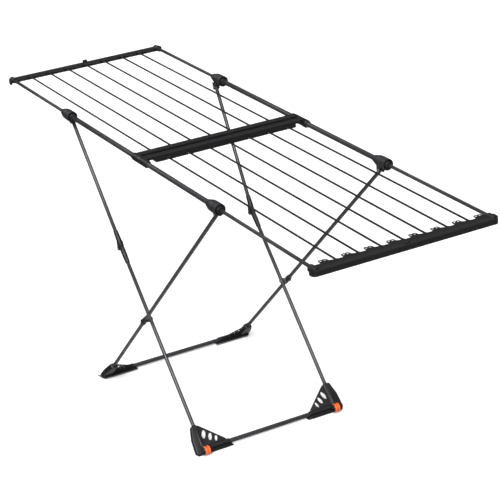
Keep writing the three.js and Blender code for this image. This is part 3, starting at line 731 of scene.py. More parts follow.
def end_bar_body(name, end):
    """Crown carried along Y within the plan, joined to a skirt that follows the outer edge and turns
    back round both ends."""
    section = crown_section()
    rings = np.array([[(x, y, z) for x, z in section] for y in (end + 5, -end - 5)])
    skirt = slab(end_bar_plan(end), END_BAR_SKIRT, 0.0, 1.4)
    inside = rounded_outline(
        [
            (-END_BAR_HALF - 5, -end + END_BAR_SKIRT_WIDTH),
            (END_BAR_HALF - END_BAR_SKIRT_WIDTH, -end + END_BAR_SKIRT_WIDTH),
            (END_BAR_HALF - END_BAR_SKIRT_WIDTH, end - END_BAR_SKIRT_WIDTH),
            (-END_BAR_HALF - 5, end - END_BAR_SKIRT_WIDTH),
        ],
        [1, 8, 8, 1],
    )
    back = END_BAR_HALF - END_BAR_WRAP
    cuts = [
        slab(inside, END_BAR_SKIRT - 1, END_BAR_UNDERSIDE, -0.6),
        block((-END_BAR_HALF - 5, -end - 5, END_BAR_SKIRT - 5), (back, end + 5, END_BAR_UNDERSIDE), 0.5),
        block((-40, -end - 5, -0.5), (40, end + 5, 5), 0.1),
    ]
    skirt_shell = shell_of(combined(name + "_skirt", [skirt], cuts))
    crown = skin(rings)
    within = slab(end_bar_plan(end), END_BAR_UNDERSIDE - 5, END_BAR_TOP, 2.6)
    return shell_of(combined(name + "_crown", [crown], [], within)), skirt_shell


def hanger_tab(y):
    """Flat tab with two ringed eyelets side by side, and the ledge that runs on to the next line."""
    half = EYELET_SPACING / 2
    ring = EYELET_RING
    front = -END_BAR_HALF - EYELET_REACH
    lobe = front + ring
    corners = [
        (-END_BAR_HALF + 3, y - half - ring),
        (-END_BAR_HALF + 3, y + half + ring + 17),
        (-END_BAR_HALF - 3, y + half + ring + 17),
        (-END_BAR_HALF - 9, y + half + ring + 1),
        (lobe, y + half + ring),
        (front, y + half + ring * 0.5),
        (front, y + half - ring * 0.5),
        (front + 3.5, y),
        (front, y - half + ring * 0.5),
        (front, y - half - ring * 0.5),
        (lobe, y - half - ring),
    ]
    outline = rounded_outline(corners, [0, 0, 2.0, 1.5, 3.0, 2.2, 2.2, 1.5, 2.2, 2.2, 3.0], steps=4)
    parts = [slab(outline, TAB_LOW + 0.3, TAB_HIGH - 0.3, 0.4)]
    cuts = []
    for sign in (-1, 1):
        centre = (lobe, y + sign * half)
        parts.append(slab(oval(centre, ring, ring), TAB_LOW, TAB_HIGH, 0.7))
        cuts.append(slab(oval(centre, EYELET_HOLE, EYELET_HOLE, 20), TAB_LOW - 0.3, TAB_HIGH + 0.3, -0.6))
    return parts, cuts


def end_bar_mesh(half):
    """Crown and skirt with eight hanger tabs, sockets for the rails and lines, and a small catch."""
    wall = sizes().shell_wall / MM
    end = node_box(f"end_bar_{half}")[1][1]
    rail_y = abs(node_middle("centre_rail_left")[1])
    sign = half_sign(half)
    line_ys = [sign * node_middle(f"line_{half}_{n}")[1] for n in range(1, LINE_COUNT + 1)]
    line_ys.sort()
    line_bore = tube_measure(f"line_{half}_1")[2] + 0.3
    rail_bore = tube_measure(f"extension_rail_{half}_left")[2] + 0.3
    pitch = line_ys[1] - line_ys[0]
    parts = list(end_bar_body(f"end_bar_{half}", end))
    cuts = []
    tab_ys = [y - pitch / 2 for y in line_ys] + [line_ys[-1] + pitch / 2]
    for y in tab_ys:
        tab_parts, tab_cuts = hanger_tab(y)
        parts += tab_parts
        cuts += tab_cuts
    for y in (-rail_y, rail_y):
        parts.append(rod((-20, y, 0), (11, y, 0), 9.0, ROUND, rounding=1.6))
        cuts.append(rod((-21, y, 0), (8, y, 0), rail_bore, ROUND, rounding=0.1))
    for y in line_ys:
        boss = [(0, line_bore + 0.5), (0.6, line_bore + 1.3), (6, line_bore + 1.9)]
        parts.append(turned(boss, (-END_BAR_HALF - 4, y, 0), (1, 0, 0), SMALL_ROUND))
        cuts.append(rod((-END_BAR_HALF - 5, y, 0), (8, y, 0), line_bore, SMALL_ROUND, rounding=0.1))
    # Hollow underneath, with a rib left at each line and between lines
    bays = np.linspace(-end + 20, end - 20, 2 * (LINE_COUNT + 1) + 1)
    for low, high in zip(bays[:-1], bays[1:]):
        outline = rounded_outline(
            [
                (-END_BAR_HALF + wall, low + 1),
                (END_BAR_HALF - END_BAR_SKIRT_WIDTH, low + 1),
                (END_BAR_HALF - END_BAR_SKIRT_WIDTH, high - 1),
                (-END_BAR_HALF + wall, high - 1),
            ],
            1.2,
            steps=3,
        )
        cuts.append(slab(outline, END_BAR_UNDERSIDE - 1, -3.4, 0.1))
    if half == "far":
        catch = rounded_outline([(5, -8), (13, -8), (13, 8), (5, 8)], 2.0, steps=4)
        parts.append(slab(catch, END_BAR_TOP - 4, END_BAR_TOP + 5.8, 1.2))
    else:
        catch = rounded_outline([(6, -8), (13, -8), (13, 8), (6, 8)], 2.0, steps=4)
        parts.append(slab(catch, END_BAR_TOP - 4, END_BAR_TOP + 2.0, 1.0))
    return combined(f"end_bar_{half}_shell", parts, cuts)


class RACK_OT_end_bars(bpy.types.Operator):
    """Make the end bars with their hanger eyelets"""

    bl_idname = "rack.end_bars"
    bl_label = "End bars"

    def execute(self, context):
        rail_height = node_middle("centre_rail_left")[2]
        for half in HALVES:
            mesh = end_bar_mesh(half)
            low, high = node_box(f"end_bar_{half}")
            reach = (high[0] if half == "near" else -low[0]) - END_BAR_HALF
            place(mesh, half_frame(half, rail_height)(reach))
            node = f"end_bar_{half}"
            add_plastic(node + "_shell", mesh, f"{half}_line_frame", node)
        return {"FINISHED"}


def place(mesh, matrix):
    """Moves a mesh from its local frame, in millimetres, to the rack's frame."""
    scaled = matrix.copy()
    scaled[:3, 3] *= MM
    mesh.transform(Matrix(scaled.tolist()))


# ---------------------------------------------------------------- inner bars

INNER_BAR_TOP = 15.0
INNER_BAR_BOTTOM = -6.0
INNER_BAR_REACH = 243.0
INNER_BAR_INSIDE = 9.5
INNER_BAR_OUTSIDE = 34.0
INNER_BAR_WALL = 2.6
SLEEVE_LENGTH = 48.0
SLEEVE_BORE = 8.35


def inner_bar_mesh(half):
    """Upside-down channel with a web each side, flanges out to the sleeves, and ribs inside."""
    rail_y = abs(node_middle("centre_rail_left")[1])
    other = "near" if half == "far" else "far"
    inside, outside = INNER_BAR_INSIDE, INNER_BAR_OUTSIDE
    wall, reach, long = INNER_BAR_WALL, INNER_BAR_REACH, SLEEVE_LENGTH
    section = rounded_outline(
        [
            (inside, INNER_BAR_BOTTOM),
            (outside, INNER_BAR_BOTTOM),
            (outside, INNER_BAR_TOP),
            (inside, INNER_BAR_TOP),
        ],
        [0.8, 0.8, 2.2, 2.2],
        steps=4,
    )
    ys = np.array([-reach, -reach + 0.8, reach - 0.8, reach])
    shrink = np.array([0.94, 1.0, 1.0, 0.94])
    middle = np.array([(inside + outside) / 2, (INNER_BAR_TOP + INNER_BAR_BOTTOM) / 2])
    around = middle + (section - middle) * shrink[:, None, None]
    rings = np.stack(
        [around[..., 0], np.broadcast_to(ys[:, None], around.shape[:2]), around[..., 1]], axis=-1
    )
    parts = [skin(rings[:, ::-1])]
    cuts = []
    bays = np.linspace(-reach + wall, reach - wall, 2 * (LINE_COUNT + 1) + 1)
    for low, high in zip(bays[:-1], bays[1:]):
        cuts.append(
            block(
                (inside + wall, low + 0.8, INNER_BAR_BOTTOM - 1),
                (outside - wall, high - 0.8, INNER_BAR_TOP - wall),
                rounding=0.8,
            )
        )
    line_radius = tube_measure(f"line_{half}_1")[2]
    sleeve = [
        (0.3, 11.2),
        (1.3, 12.2),
        (6, 12.35),
        (long - 9, 12.35),
        (long - 1.4, 11.6),
        (long, 10.4),
    ]
    for sign in (-1, 1):
        y = sign * rail_y
        parts.append(turned(sleeve, (0, y, 0), (1, 0, 0)))
        near_y, far_y = sorted((sign * (reach - 2), sign * (rail_y - 1)))
        parts.append(block((inside, near_y, 9.4), (outside, far_y, INNER_BAR_TOP - 0.4), 0.8))
        for gusset_x in (inside + 2, outside - 5):
            parts.append(block((gusset_x, near_y, 4.5), (gusset_x + 3, far_y, 12), 0.5))
        lug = (long / 2 - 12, long / 2 + 12)
        parts.append(block((lug[0], y - 2.5, -15), (lug[1], y + 2.5, -8.6), 0.8))
        cuts.append(rod((-1, y, 0), (long + 1, y, 0), SLEEVE_BORE, ROUND, rounding=0.1))
    for number in range(1, LINE_COUNT + 1):
        anchored = (half, line_radius + 0.3, outside - wall)
        sliding = (other, line_radius + 0.8, outside + 1)
        for owner, bore, end in (anchored, sliding):
            y = -half_sign(half) * node_middle(f"line_{owner}_{number}")[1]
            cuts.append(rod((inside - 1, y, 0), (end, y, 0), bore, SMALL_ROUND, rounding=0.1))
    return combined(f"inner_bar_{half}_channel", parts, cuts)


class RACK_OT_inner_bars(bpy.types.Operator):
    """Make the inner bars that slide on the centre rails"""

    bl_idname = "rack.inner_bars"
    bl_label = "Inner bars"

    def execute(self, context):
        rail_height = node_middle("centre_rail_left")[2]
        for half in HALVES:
            other = "near" if half == "far" else "far"
            mesh = inner_bar_mesh(half)
            place(mesh, half_frame(other, rail_height)(0))
            node = f"inner_bar_{half}_half"
            add_plastic(node + "_channel", mesh, f"{half}_line_frame", node)
        return {"FINISHED"}


# ---------------------------------------------------------------- leg collars and top pins

TOP_PIN = (3.0, 5.0, 2.0)  # radius, head radius and head thickness
TOP_PIVOT_DROP = 24.0  # from the rail's axis down to the leg's pivot
EAR_GAP = 6.35  # from the leg's axis to the inner face of an ear
EAR_THICKNESS = 3.0
LEG_SWING_RADIUS = 9.7
TOP_PIN_HOLE = 3.2
COLLAR_BORE = 8.3


def collar_body():
    """Turned collar: from the tail the radius swells as a smooth step to the open ring mouth."""
    tail, ring, tail_radius, ring_radius = 37.0, 33.0, 11.5, 18.0
    x = np.linspace(-tail + 2, -9, 10)
    share = (x + tail) / (tail - 9)
    smooth = share * share * (3 - 2 * share)
    radius = tail_radius + (ring_radius - 0.6 - tail_radius) * smooth
    swell = list(zip(x, radius))
    return [
        (-tail, COLLAR_BORE),
        (-tail, tail_radius - 1.4),
        (-tail + 0.5, tail_radius - 0.5),
        *swell,
        (15, ring_radius),
        (16, ring_radius - 0.5),
        (17.5, ring_radius - 0.5),
        (18.5, ring_radius),
        (ring - 1, ring_radius),
        (ring - 0.3, ring_radius - 0.3),
        (ring, ring_radius - 1),
        (ring, ring_radius - 2.2),
        (ring - 0.5, ring_radius - 2.8),
        (ring - 15, ring_radius - 3.6),
        (ring - 16, ring_radius - 5.0),
        (ring - 16, 11.6),
        (ring + 3, 10.6),
        (ring + 4, 9.8),
        (ring + 4, COLLAR_BORE),
    ]


def collar_mesh(name, leg_offset):
    """Collar with a bridge under it, two round-ended ears for the leg and a boss on each ear."""
    drop, clear, ear = TOP_PIVOT_DROP, EAR_GAP, EAR_THICKNESS
    tip = -drop - 8.2
    parts = [turned(collar_body(), (0, 0, 0), (1, 0, 0), closed=True)]
    for sign in (-1, 1):
        low, high = sorted((leg_offset + sign * clear, leg_offset + sign * (clear + ear)))
        outline = rounded_outline(
            [(-8.6, -8), (-8.4, -drop - 3), (-4, tip), (4, tip), (8.4, -drop - 3), (9, -8)],
            [1, 5, 5, 5, 5, 1],
            steps=4,
        )
        to_side = placed((0, 0, 0), (1, 0, 0), (0, 0, 1), (0, -1, 0))
        parts.append(moved(slab(outline, -high, -low, 0.6), to_side))
        boss_face = leg_offset + sign * (clear + ear - 0.5)
        parts.append(rod((0, boss_face, -drop), (0, boss_face - sign * 2, -drop), 5.6, SMALL_ROUND, 0.3))
    low, high = leg_offset - clear - ear, leg_offset + clear + ear
    parts.append(block((-9, low, -14.4), (9, high, -8.5), 0.8))
    cuts = [
        rod((-40, 0, 0), (40, 0, 0), COLLAR_BORE, ROUND, 0.1),
        rod((0, leg_offset - clear, -drop), (0, leg_offset + clear, -drop), LEG_SWING_RADIUS, ROUND, 0.1),
        rod((0, leg_offset - 20, -drop), (0, leg_offset + 20, -drop), TOP_PIN_HOLE, SMALL_ROUND, 0.1),
    ]
    return combined(name, parts, cuts)


class RACK_OT_collars(bpy.types.Operator):
    """Make the leg collars and their pivot pins"""

    bl_idname = "rack.collars"
    bl_label = "Leg collars"

    def execute(self, context):
        pivots = {"far": joint_place("upper_legs_fold")[0], "near": joint_place("long_legs_fold")[0]}
        for side in SIDES:
            rail = node_middle(f"centre_rail_{side}")
            for half, pivot_x in pivots.items():
                pin_node = f"top_pin_{half}_{side}"
                pin_middle = node_middle(pin_node)
                node = f"leg_collar_{half}_{side}"
                mesh = collar_mesh(node + "_moulding", pin_middle[1] - rail[1])
                place(mesh, placed((pivot_x, rail[1], rail[2]), (1, 0, 0), (0, 1, 0), (0, 0, 1)))
                finish = finish_of("collar")
                add_piece(node + "_moulding", mesh, finish, "centre_frame", [node])
                low, high = node_box(pin_node)
                head = TOP_PIN[2]
                start = (pin_middle[0], low[1] + head, pin_middle[2])
                end = (pin_middle[0], high[1] - head, pin_middle[2])
                add_rivet(pin_node, domed_pin(start, end, *TOP_PIN), "centre_frame")
        return {"FINISHED"}


# ---------------------------------------------------------------- knees

KNEE_PIN = (2.5, 4.0, 1.5)  # radius, head radius and head thickness
KNEE_LENGTH = 57.0
KNEE_RADIUS = 8.3
KNEE_FACE = 1.0
LUG_FOOT = 6.9
LUG_ROOT = 21.0
LUG_REACH = 12.0
LUG_RADIUS = 7.0
LUG_CLEARANCE_RADIUS = 7.4
LUG_INNER = 3.4  # faces of the lugs, out from the knee's middle plane
LUG_OUTER = 9.0
TONGUE_GAP = 0.35  # between the middle lug and the outer two
KNEE_TUBE_SEAT = 8.0  # from the knee to the end of each tube
KNEE_PIN_HOLE = 2.85


def knee_sleeve(middle, direction):
    """Sleeve with softened ends and three grip rings near the tube end."""
    stations = [
        (KNEE_FACE, KNEE_RADIUS - 0.9),
        (KNEE_FACE + 0.3, KNEE_RADIUS - 0.3),
        (KNEE_FACE + 1, KNEE_RADIUS),
        (KNEE_LENGTH * 0.55, KNEE_RADIUS),
    ]
    for ring in range(3):
        at = KNEE_LENGTH * 0.62 + 5.0 * ring
        taper = KNEE_RADIUS - 0.2 * ring
        floor = taper - 0.7
        stations += [(at, taper), (at + 0.8, floor), (at + 1.8, floor), (at + 2.6, taper - 0.1)]
    stations += [(KNEE_LENGTH - 1.0, KNEE_RADIUS - 1.2), (KNEE_LENGTH, KNEE_RADIUS - 1.7)]
    return turned(stations, middle, direction)


def knee_lug(middle, back, direction, low, high):
    """Teardrop plate from the sleeve out to the pin, flat between two heights across the knee."""
    pin, radius = LUG_REACH, LUG_RADIUS
    corners = [(-2, KNEE_FACE), (pin, KNEE_FACE), (pin, radius), (LUG_FOOT, LUG_ROOT), (-2, LUG_ROOT)]
    outline = rounded_outline(corners, [0, 0, 1, 3, 0], steps=6)
    disc = oval((pin, 0), radius, radius, 32)
    to_knee = placed(middle, back, direction, np.cross(back, direction))
    plate = slab(outline, low, high, 0.3)
    return [moved(plate, to_knee), moved(slab(disc, low, high, 0.5), to_knee)]


def knee_meshes(side):
    """Upper half with two outer lugs and lower half with one between them, cut round the pin."""
    pin_middle = node_middle(f"knee_pin_{side}")
    upper_start, upper_end, _, _ = tube_measure(f"leg_a_upper_{side}")
    lower_start, lower_end, _, _ = tube_measure(f"leg_a_lower_{side}")
    if upper_start[2] < upper_end[2]:
        upper_start, upper_end = upper_end, upper_start
    if lower_start[2] < lower_end[2]:
        lower_start, lower_end = lower_end, lower_start
    up = unit(upper_start - upper_end)
    down = unit(lower_end - lower_start)
    middle = (upper_end - up * KNEE_TUBE_SEAT + lower_start - down * KNEE_TUBE_SEAT) / 2
    back = pin_middle - middle
    back[1] = 0
    back = unit(back)
    flat_up = unit([up[0], 0, up[2]])
    flat_down = unit([down[0], 0, down[2]])
    inner, outer = LUG_INNER, LUG_OUTER
    tongue = inner - TONGUE_GAP
    back_up = unit(back - flat_up * (back @ flat_up))
    back_down = unit(back - flat_down * (back @ flat_down))
    upper_parts = [knee_sleeve(middle, up)]
    for low, high in ((-outer, -inner), (inner, outer)):
        upper_parts += knee_lug(middle, back_up, flat_up, low, high)
    lower_parts = [knee_sleeve(middle, down)]
    lower_parts += knee_lug(middle, back_down, flat_down, -tongue, tongue)

    def across(low, high, radius, sides=ROUND):
        start = pin_middle + np.array([0, low, 0])
        return rod(start, pin_middle + np.array([0, high, 0]), radius, sides, rounding=0.05)

    hole = across(-20, 20, KNEE_PIN_HOLE, SMALL_ROUND)
    slot = across(-inner, inner, LUG_CLEARANCE_RADIUS)
    clearances = [
        across(-outer - 1, -tongue, LUG_CLEARANCE_RADIUS),
        across(tongue, outer + 1, LUG_CLEARANCE_RADIUS),
    ]
    upper = combined(f"knee_upper_{side}_moulding", upper_parts, [slot, hole])
    lower = combined(f"knee_lower_{side}_moulding", lower_parts, [*clearances, hole])
    return upper, lower


class RACK_OT_knees(bpy.types.Operator):
    """Make the locking knees of the jointed legs"""

    bl_idname = "rack.knees"
    bl_label = "Knees"

    def execute(self, context):
        for side in SIDES:
            upper, lower = knee_meshes(side)
            add_plastic(upper.name, upper, "upper_legs", f"knee_upper_{side}")
            add_plastic(lower.name, lower, "lower_legs", f"knee_lower_{side}")
            node = f"knee_pin_{side}"
            low, high = node_box(node)
            middle = node_middle(node)
            head = KNEE_PIN[2]
            start = (middle[0], low[1] + head, middle[2])
            end = (middle[0], high[1] - head, middle[2])
            add_rivet(node, domed_pin(start, end, *KNEE_PIN), "upper_legs")
        return {"FINISHED"}


# ---------------------------------------------------------------- crossing pivots

CROSSING_BORE = 6.3


def crossing_block_mesh(side):
    """Sleeve round the long leg with tapered ends and a round cap over the pivot."""
    node = f"crossing_block_{side}"
    start, end, _, _ = tube_measure(f"leg_b_{side}")
    axis = unit(end - start)
    pin_middle = node_middle(f"crossing_pin_{side}")
    along = (pin_middle - start) @ axis
    centre = start + axis * along
    stations = [(-22, 7.4), (-21, 8.2), (-14, 9), (14, 9), (21, 8.2), (22, 7.4)]
    sign = side_sign(side)
    cap_start = centre + np.array([0, sign * 6.6, 0])
    cap = [(0, 8.0), (3.4, 8.0), (4.2, 7.2), (4.4, 5.0), (3.8, 4.6), (3.8, 0.8)]
    parts = [turned(stations, centre, axis), turned(cap, cap_start, (0, sign, 0))]
    return combined(node + "_moulding", parts, [rod(start, end, CROSSING_BORE, ROUND, 0.1)])


def crossing_pin_shell(side):
    """Rivet turned in one piece: domed head, shank and the washer between the legs."""
    node = f"crossing_pin_{side}"
    low, high = node_box(node)
    middle = node_middle(node)
    sign = side_sign(side)
    length = high[1] - low[1]
    inner = (middle[0], low[1] if sign > 0 else high[1], middle[2])
    head = [(0, 2.0), (0.5, 3.6), (1.3, 4.7), (2, 5)]
    shank = [(2, 2.5), (14.6, 2.5)]
    washer = [(14.6, 7.6), (15, 8), (length, 8)]
    stations = [*head, *shank, *washer]
    return turned(stations, inner, (0, sign, 0))


class RACK_OT_crossings(bpy.types.Operator):
    """Make the pivots where the legs cross"""

    bl_idname = "rack.crossings"
    bl_label = "Crossing pivots"

    def execute(self, context):
        for side in SIDES:
            block_mesh = crossing_block_mesh(side)
            node = f"crossing_block_{side}"
            add_plastic(block_mesh.name, block_mesh, "long_legs", node)
            add_rivet(f"crossing_pin_{side}", crossing_pin_shell(side), "lower_legs")
        return {"FINISHED"}


# ---------------------------------------------------------------- feet

# Each hole's middle, inboard and up the leg, and its half width and half length
BRACKET_HOLES = (((21, 44.5), 6.8, 14), ((39, 32), 6, 12), ((56, 21.5), 4.8, 9.5))
BRACKET_HOLE_TILT = math.radians(23)
BRACKET_THICKNESS = 18.0


def bracket_mesh(half, side):
    """Triangular foot bracket in the plane of leg and foot bar: thick round both, with a thin web
    between them pierced by three ovals, on a block with a flat sole. u runs inboard, v up the leg."""
    node = f"foot_bracket_{half}_{side}"
    sign = side_sign(side)
    leg = f"leg_a_lower_{side}" if half == "near" else f"leg_b_{side}"
    top, bottom, leg_radius, _ = tube_measure(leg)
    if top[2] < bottom[2]:
        top, bottom = bottom, top
    bar_radius = tube_measure(f"foot_bar_{half}")[2]
    bar_axis = node_middle(f"foot_bar_{half}")
    share = (bar_axis[2] - top[2]) / (bottom[2] - top[2])
    foot = top + (bottom - top) * share
    foot[0], foot[2] = bar_axis[0], bar_axis[2]
    up = unit(top - foot)
    inboard = np.array([0.0, -sign, 0.0])
    across = np.cross(inboard, up)
    square_up = np.cross(across, inboard)
    to_foot = placed(foot, inboard, unit(square_up), unit(across))
    half_thick = BRACKET_THICKNESS / 2
    half_web = sizes().web_thickness / MM / (2 if half == "near" else 3)
    rim = sizes().edge_rounding / MM
    web = rounded_outline(
        [(-12, -10), (90, -10), (91, 4), (84, 14), (14, 77), (-12, 80)], [1, 3, 4, 20, 5, 6], steps=6
    )
    heel = rounded_outline(
        [(-24, 38), (-27, -8), (-22, -16), (11, -16), (11, 77), (-12, 80)], [14, 3, 3, 3, 4, 6], steps=6
    )
    parts = [
        moved(slab(heel, -half_thick, half_thick, 1.8 + rim), to_foot),
        moved(slab(web, -half_web, half_web, 0.6), to_foot),
    ]
    holes = []
    for at, wide, tall in BRACKET_HOLES:
        hole = slab(oval(at, wide, tall, tilt=BRACKET_HOLE_TILT), -half_thick - 1, half_thick + 1, 0.1)
        holes.append(moved(hole, to_foot))
    sleeve_walls = [(14, 3.8), (60, 3.2), (78, 2.8), (80.5, 1.6)]
    leg_sleeve = [(at, leg_radius + wall) for at, wall in sleeve_walls]
    sole_z = node_box(node)[0][2]
    y_outer = foot[1] + sign * 23
    y_inner = foot[1] - sign * 90
    y_low, y_high = sorted((y_outer, y_inner))
    sole = block((foot[0] - 14, y_low, sole_z), (foot[0] + 14, y_high, 10.5), 1.6)
    wedge_corners = [(80, sole_z), (104, sole_z), (104, sole_z + 2.6), (92, 10), (80, 10)]
    wedge = rounded_outline(wedge_corners, [0.5, 1, 1.4, 3, 0.5], steps=4)
    to_wedge = placed((foot[0], foot[1], 0), inboard, (0, 0, 1), np.cross(inboard, (0, 0, 1)))
    tongue = moved(slab(wedge, -12.5, 12.5, 1.2), to_wedge)
    parts += [turned(leg_sleeve, foot, up), sole, tongue]
    start_u = 19.1 if half == "near" else leg_radius + 4
    socket_start = foot + inboard * start_u
    bar_way = inboard * 200
    bar_sleeve = [(0, bar_radius + 2.6), (93, bar_radius + 2.2), (94.5, bar_radius + 1.0)]
    parts.append(turned(bar_sleeve, foot, inboard))
    cuts = [
        *holes,
        rod(foot + up * 8.7, top, leg_radius + 0.3, ROUND, 0.1),
        rod(socket_start, socket_start + bar_way, bar_radius + 0.3, ROUND, 0.1),
        block((foot[0] - 100, foot[1] - 200, sole_z - 60), (foot[0] + 100, foot[1] + 200, sole_z), 0.1),
    ]
    if half == "near":
        wheel_middle = node_middle(f"wheel_{side}")
        low, high = node_box(f"wheel_{side}")
        pocket = (high[1] - low[1]) / 2 + 1.6
        cheek = pocket + 4.5

        def drum(reach, radius, rounding=0.1):
            start = wheel_middle - np.array([0, reach, 0])
            return rod(start, wheel_middle + np.array([0, reach, 0]), radius, ROUND, rounding)

        parts.append(drum(cheek, 12.0, 1.2))
        cuts = [drum(pocket, 15.6), drum(cheek + 2, 2.3), *cuts]
    return combined(node + "_moulding", parts, cuts)


def shell_of(mesh):
    """Points, in millimetres, and faces of a mesh, which is then dropped."""
    flat = np.empty(len(mesh.vertices) * 3)
    mesh.vertices.foreach_get("co", flat)
    faces = [tuple(polygon.vertices) for polygon in mesh.polygons]
    bpy.data.meshes.remove(mesh)
    return flat.reshape(-1, 3) / MM, faces


def wheel_shell(side):
    """Wheel: a rounded tread with a groove, thin web and a hub round the bore."""
    node = f"wheel_{side}"
    middle = node_middle(node)
    side_profile = [
        (2.0, 9.5),
        (2.5, 12.6),
        (3.2, 13.6),
        (4.2, 14.0),
        (6.8, 14.0),
        (8.2, 13.4),
        (8.9, 12.2),
        (8.6, 11.0),
        (7.8, 10.6),
        (3.6, 10.2),
        (3.9, 6.2),
        (8.2, 5.8),
        (9, 5.2),
        (9, 2.4),
    ]
    mirrored = [(-at, radius) for at, radius in side_profile[::-1]]
    profile = [*mirrored, *side_profile]
    return turned(profile, middle, (0, 1, 0), ROUND, closed=True)


def pad_mesh(side):
    """Rubber pad: a flat strip with a swept tip, grooved underneath."""
    node = f"foot_pad_{side}"
    low, high = node_box(node)
    sign = side_sign(side)
    bar = node_middle("foot_bar_far")
    outer = high[1] if sign > 0 else -low[1]
    inner = low[1] if sign > 0 else -high[1]
    back = bar[0] - low[0]
    corners = [
        (14, inner),
        (14, outer - 14),
        (6, outer - 8),
        (-back, outer),
        (-14, outer - 26),
        (-14, inner),
    ]
    outline = rounded_outline(corners, [2, 6, 4, 1.5, 8, 2], steps=5) * np.array([1, sign])
    top = high[2]
    grooves = []
    for y in np.arange(inner + 8, outer - 30, 8.0):
        near_y, far_y = sorted((sign * y, sign * (y + 2)))
        grooves.append(block((bar[0] - 40, near_y, -1), (bar[0] + 40, far_y, 0.8), 0.3))
    to_bar = placed((bar[0], 0, 0), (1, 0, 0), (0, 1, 0), (0, 0, 1))
    body = moved(slab(outline, 0.0, top, 0.8), to_bar)
    return combined(node + "_grooved", [body], grooves)


class RACK_OT_feet(bpy.types.Operator):
    """Make the foot brackets, wheels, axles and rubber pads"""

    bl_idname = "rack.feet"
    bl_label = "Feet and wheels"

    def execute(self, context):
        for side in SIDES:
            for half, body in (("near", "lower_legs"), ("far", "long_legs")):
                node = f"foot_bracket_{half}_{side}"
                mesh = bracket_mesh(half, side)
                add_plastic(mesh.name, mesh, body, node)
            wheel_node = f"wheel_{side}"
            wheel = mesh_from(wheel_node + "_turning", wheel_shell(side))
            body = f"wheel_{side}_body"
            add_piece(wheel.name, wheel, finish_of("wheel"), body, [wheel_node])
            axle_node = f"wheel_axle_{side}"
            start, end, radius, _ = tube_measure(axle_node)
            axle = mesh_from(axle_node + "_rod", rod(start, end, radius))
            add_piece(axle.name, axle, finish_of("pin"), "lower_legs", [axle_node])
            pad = pad_mesh(side)
            add_piece(pad.name, pad, finish_of("rubber"), "long_legs", [f"foot_pad_{side}"])
        return {"FINISHED"}


# ---------------------------------------------------------------- stage, light and camera

# Strength of the world light level with the floor and straight overhead
SKY_HORIZON = 0.06
SKY_OVERHEAD = 0.75
# Each sun's direction from the rack, strength and apparent width
KEY_SUN = ("key", (0.62, -0.42, 0.68), 4.6, math.radians(34))
BACK_SUN = ("back", (-0.8, -0.3, 0.5), 0.35, math.radians(30))
SENSOR_WIDTH = 36.0
FLOOR_COLOUR = (0.95, 0.95, 0.95)
FLOOR_ROUGHNESS = 0.9


def plain_material(name, colour, roughness):
    """Matt paint with a drift in shade too faint to see."""
    finish = Finish(name)
    drift = finish.noise(2.0, detail=1.0)
    return finish.set(
        Base_Color=finish.between(drift, shaded(colour, 0.995), shaded(colour, 1.0)),
        Roughness=roughness,
    )


def add_floor():
    """Pale floor that curves up far behind: a flat strip, then a quarter circle, then a wall."""
    reach, radius = 14.0, 4.0
    angle = np.linspace(0, math.pi / 2, 16)
    along = np.concatenate([[-reach], reach + radius * np.sin(angle), [reach + radius]])
    height = np.concatenate([[0], radius * (1 - np.cos(angle)), [3 * radius]])
    across = np.linspace(-reach * 2, reach * 2, 9)
    grid = np.stack(
        [
            np.broadcast_to(-along[:, None], (len(along), len(across))),
            np.broadcast_to(across[None, :], (len(along), len(across))),
            np.broadcast_to(height[:, None], (len(along), len(across))),
        ],
        axis=-1,
    )
    size = len(across)
    index = np.arange(grid.shape[0] * size).reshape(-1, size)
    quads = np.stack([index[:-1, :-1], index[1:, :-1], index[1:, 1:], index[:-1, 1:]], axis=-1)
    mesh = bpy.data.meshes.new("studio_floor")
    mesh.from_pydata(grid.reshape(-1, 3), [], quads.reshape(-1, 4).tolist())
    mesh.materials.append(plain_material("studio_white", FLOOR_COLOUR, FLOOR_ROUGHNESS))
    floor = bpy.data.objects.new("studio_floor", mesh)
    floor.visible_glossy = False
    bpy.context.scene.collection.objects.link(floor)


def add_sky():
    """Soft white light that is dim at the horizon and grows as the square of the height towards
    straight up and straight down."""
    world = bpy.data.worlds.new("studio")
    bpy.context.scene.world = world
    world.use_nodes = True
    nodes = world.node_tree.nodes
    links = world.node_tree.links
    place = nodes.new("ShaderNodeTexCoord")
    height = nodes.new("ShaderNodeSeparateXYZ")
    strength = nodes.new("ShaderNodeMapRange")
    strength.inputs["To Min"].default_value = SKY_HORIZON
    strength.inputs["To Max"].default_value = SKY_OVERHEAD
    links.new(place.outputs["Generated"], height.inputs["Vector"])
    square = nodes.new("ShaderNodeMath")
    square.operation = "MULTIPLY"
    links.new(height.outputs["Z"], square.inputs[0])
    links.new(height.outputs["Z"], square.inputs[1])
    links.new(square.outputs["Value"], strength.inputs["Value"])
    links.new(strength.outputs["Result"], nodes["Background"].inputs["Strength"])
    nodes["Background"].inputs["Color"].default_value = (1.0, 1.0, 1.0, 1.0)


def add_sun(name, way, strength, spread):
    """Broad light from one direction that falls evenly on the whole floor."""
    light = bpy.data.lights.new(name, "SUN")
    light.energy = strength
    light.angle = spread
    holder = bpy.data.objects.new(name, light)
    bpy.context.scene.collection.objects.link(holder)
    holder.rotation_euler = Vector(way).to_track_quat("Z", "Y").to_euler()


# Camera place and directions, in metres from the floor under the middle of the rack
CAMERA_PLACE = (4.7931, -2.3856, 2.8389)
CAMERA_RIGHT = (0.48074, 0.87403, -0.07049)
CAMERA_FORWARD = (-0.81951, 0.41924, -0.39070)
CAMERA_LENS = 132.9


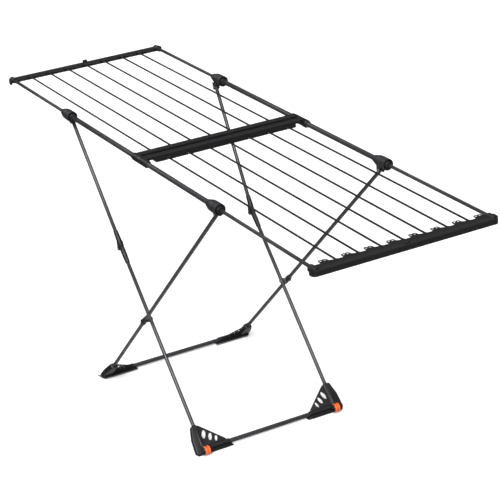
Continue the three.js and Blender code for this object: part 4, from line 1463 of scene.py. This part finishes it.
def add_camera():
    """Long-lens camera on the near left side, looking down on the rack."""
    camera = bpy.data.objects.new("camera", bpy.data.cameras.new("camera"))
    bpy.context.scene.collection.objects.link(camera)
    camera.data.sensor_width = SENSOR_WIDTH
    camera.data.lens = CAMERA_LENS
    right = unit(CAMERA_RIGHT)
    forward = unit(CAMERA_FORWARD)
    up = np.cross(right, forward)
    matrix = placed(CAMERA_PLACE, right, up, -forward)
    camera.matrix_world = Matrix(matrix.tolist())
    bpy.context.scene.camera = camera


class RACK_OT_stage(bpy.types.Operator):
    """Make the floor, the studio lights and the camera"""

    bl_idname = "rack.stage"
    bl_label = "Stage and camera"

    def execute(self, context):
        add_floor()
        add_sun(*KEY_SUN)
        add_sun(*BACK_SUN)
        add_sky()
        add_camera()
        context.scene.view_settings.view_transform = "Standard"
        return {"FINISHED"}


# ---------------------------------------------------------------- panel, registration and the run

STEPS = (
    RACK_OT_tubes,
    RACK_OT_lines,
    RACK_OT_end_bars,
    RACK_OT_inner_bars,
    RACK_OT_collars,
    RACK_OT_knees,
    RACK_OT_crossings,
    RACK_OT_feet,
    RACK_OT_stage,
)


class RACK_PT_panel(bpy.types.Panel):
    """Lists the rack's sizes, colours and steps"""

    bl_label = "Drying rack"
    bl_idname = "RACK_PT_panel"
    bl_space_type = "VIEW_3D"
    bl_region_type = "UI"
    bl_category = "Drying rack"

    def draw(self, context):
        for group in (context.scene.rack_sizes, context.scene.rack_colours):
            for name in group.__annotations__:
                self.layout.prop(group, name)
        for step in STEPS:
            self.layout.operator(step.bl_idname)


CLASSES = (RackSizes, RackColours, *STEPS, RACK_PT_panel)


def register():
    """Registers the classes and puts both property groups on the scene."""
    for each in CLASSES:
        bpy.utils.register_class(each)
    bpy.types.Scene.rack_sizes = bpy.props.PointerProperty(type=RackSizes)
    bpy.types.Scene.rack_colours = bpy.props.PointerProperty(type=RackColours)


def unregister():
    """Takes back what register does."""
    del bpy.types.Scene.rack_colours
    del bpy.types.Scene.rack_sizes
    for each in reversed(CLASSES):
        bpy.utils.unregister_class(each)


def main():
    """Runs each step in order."""
    register()
    for step in STEPS:
        group, name = step.bl_idname.split(".")
        getattr(getattr(bpy.ops, group), name)()


if __name__ == "__main__":
    main()
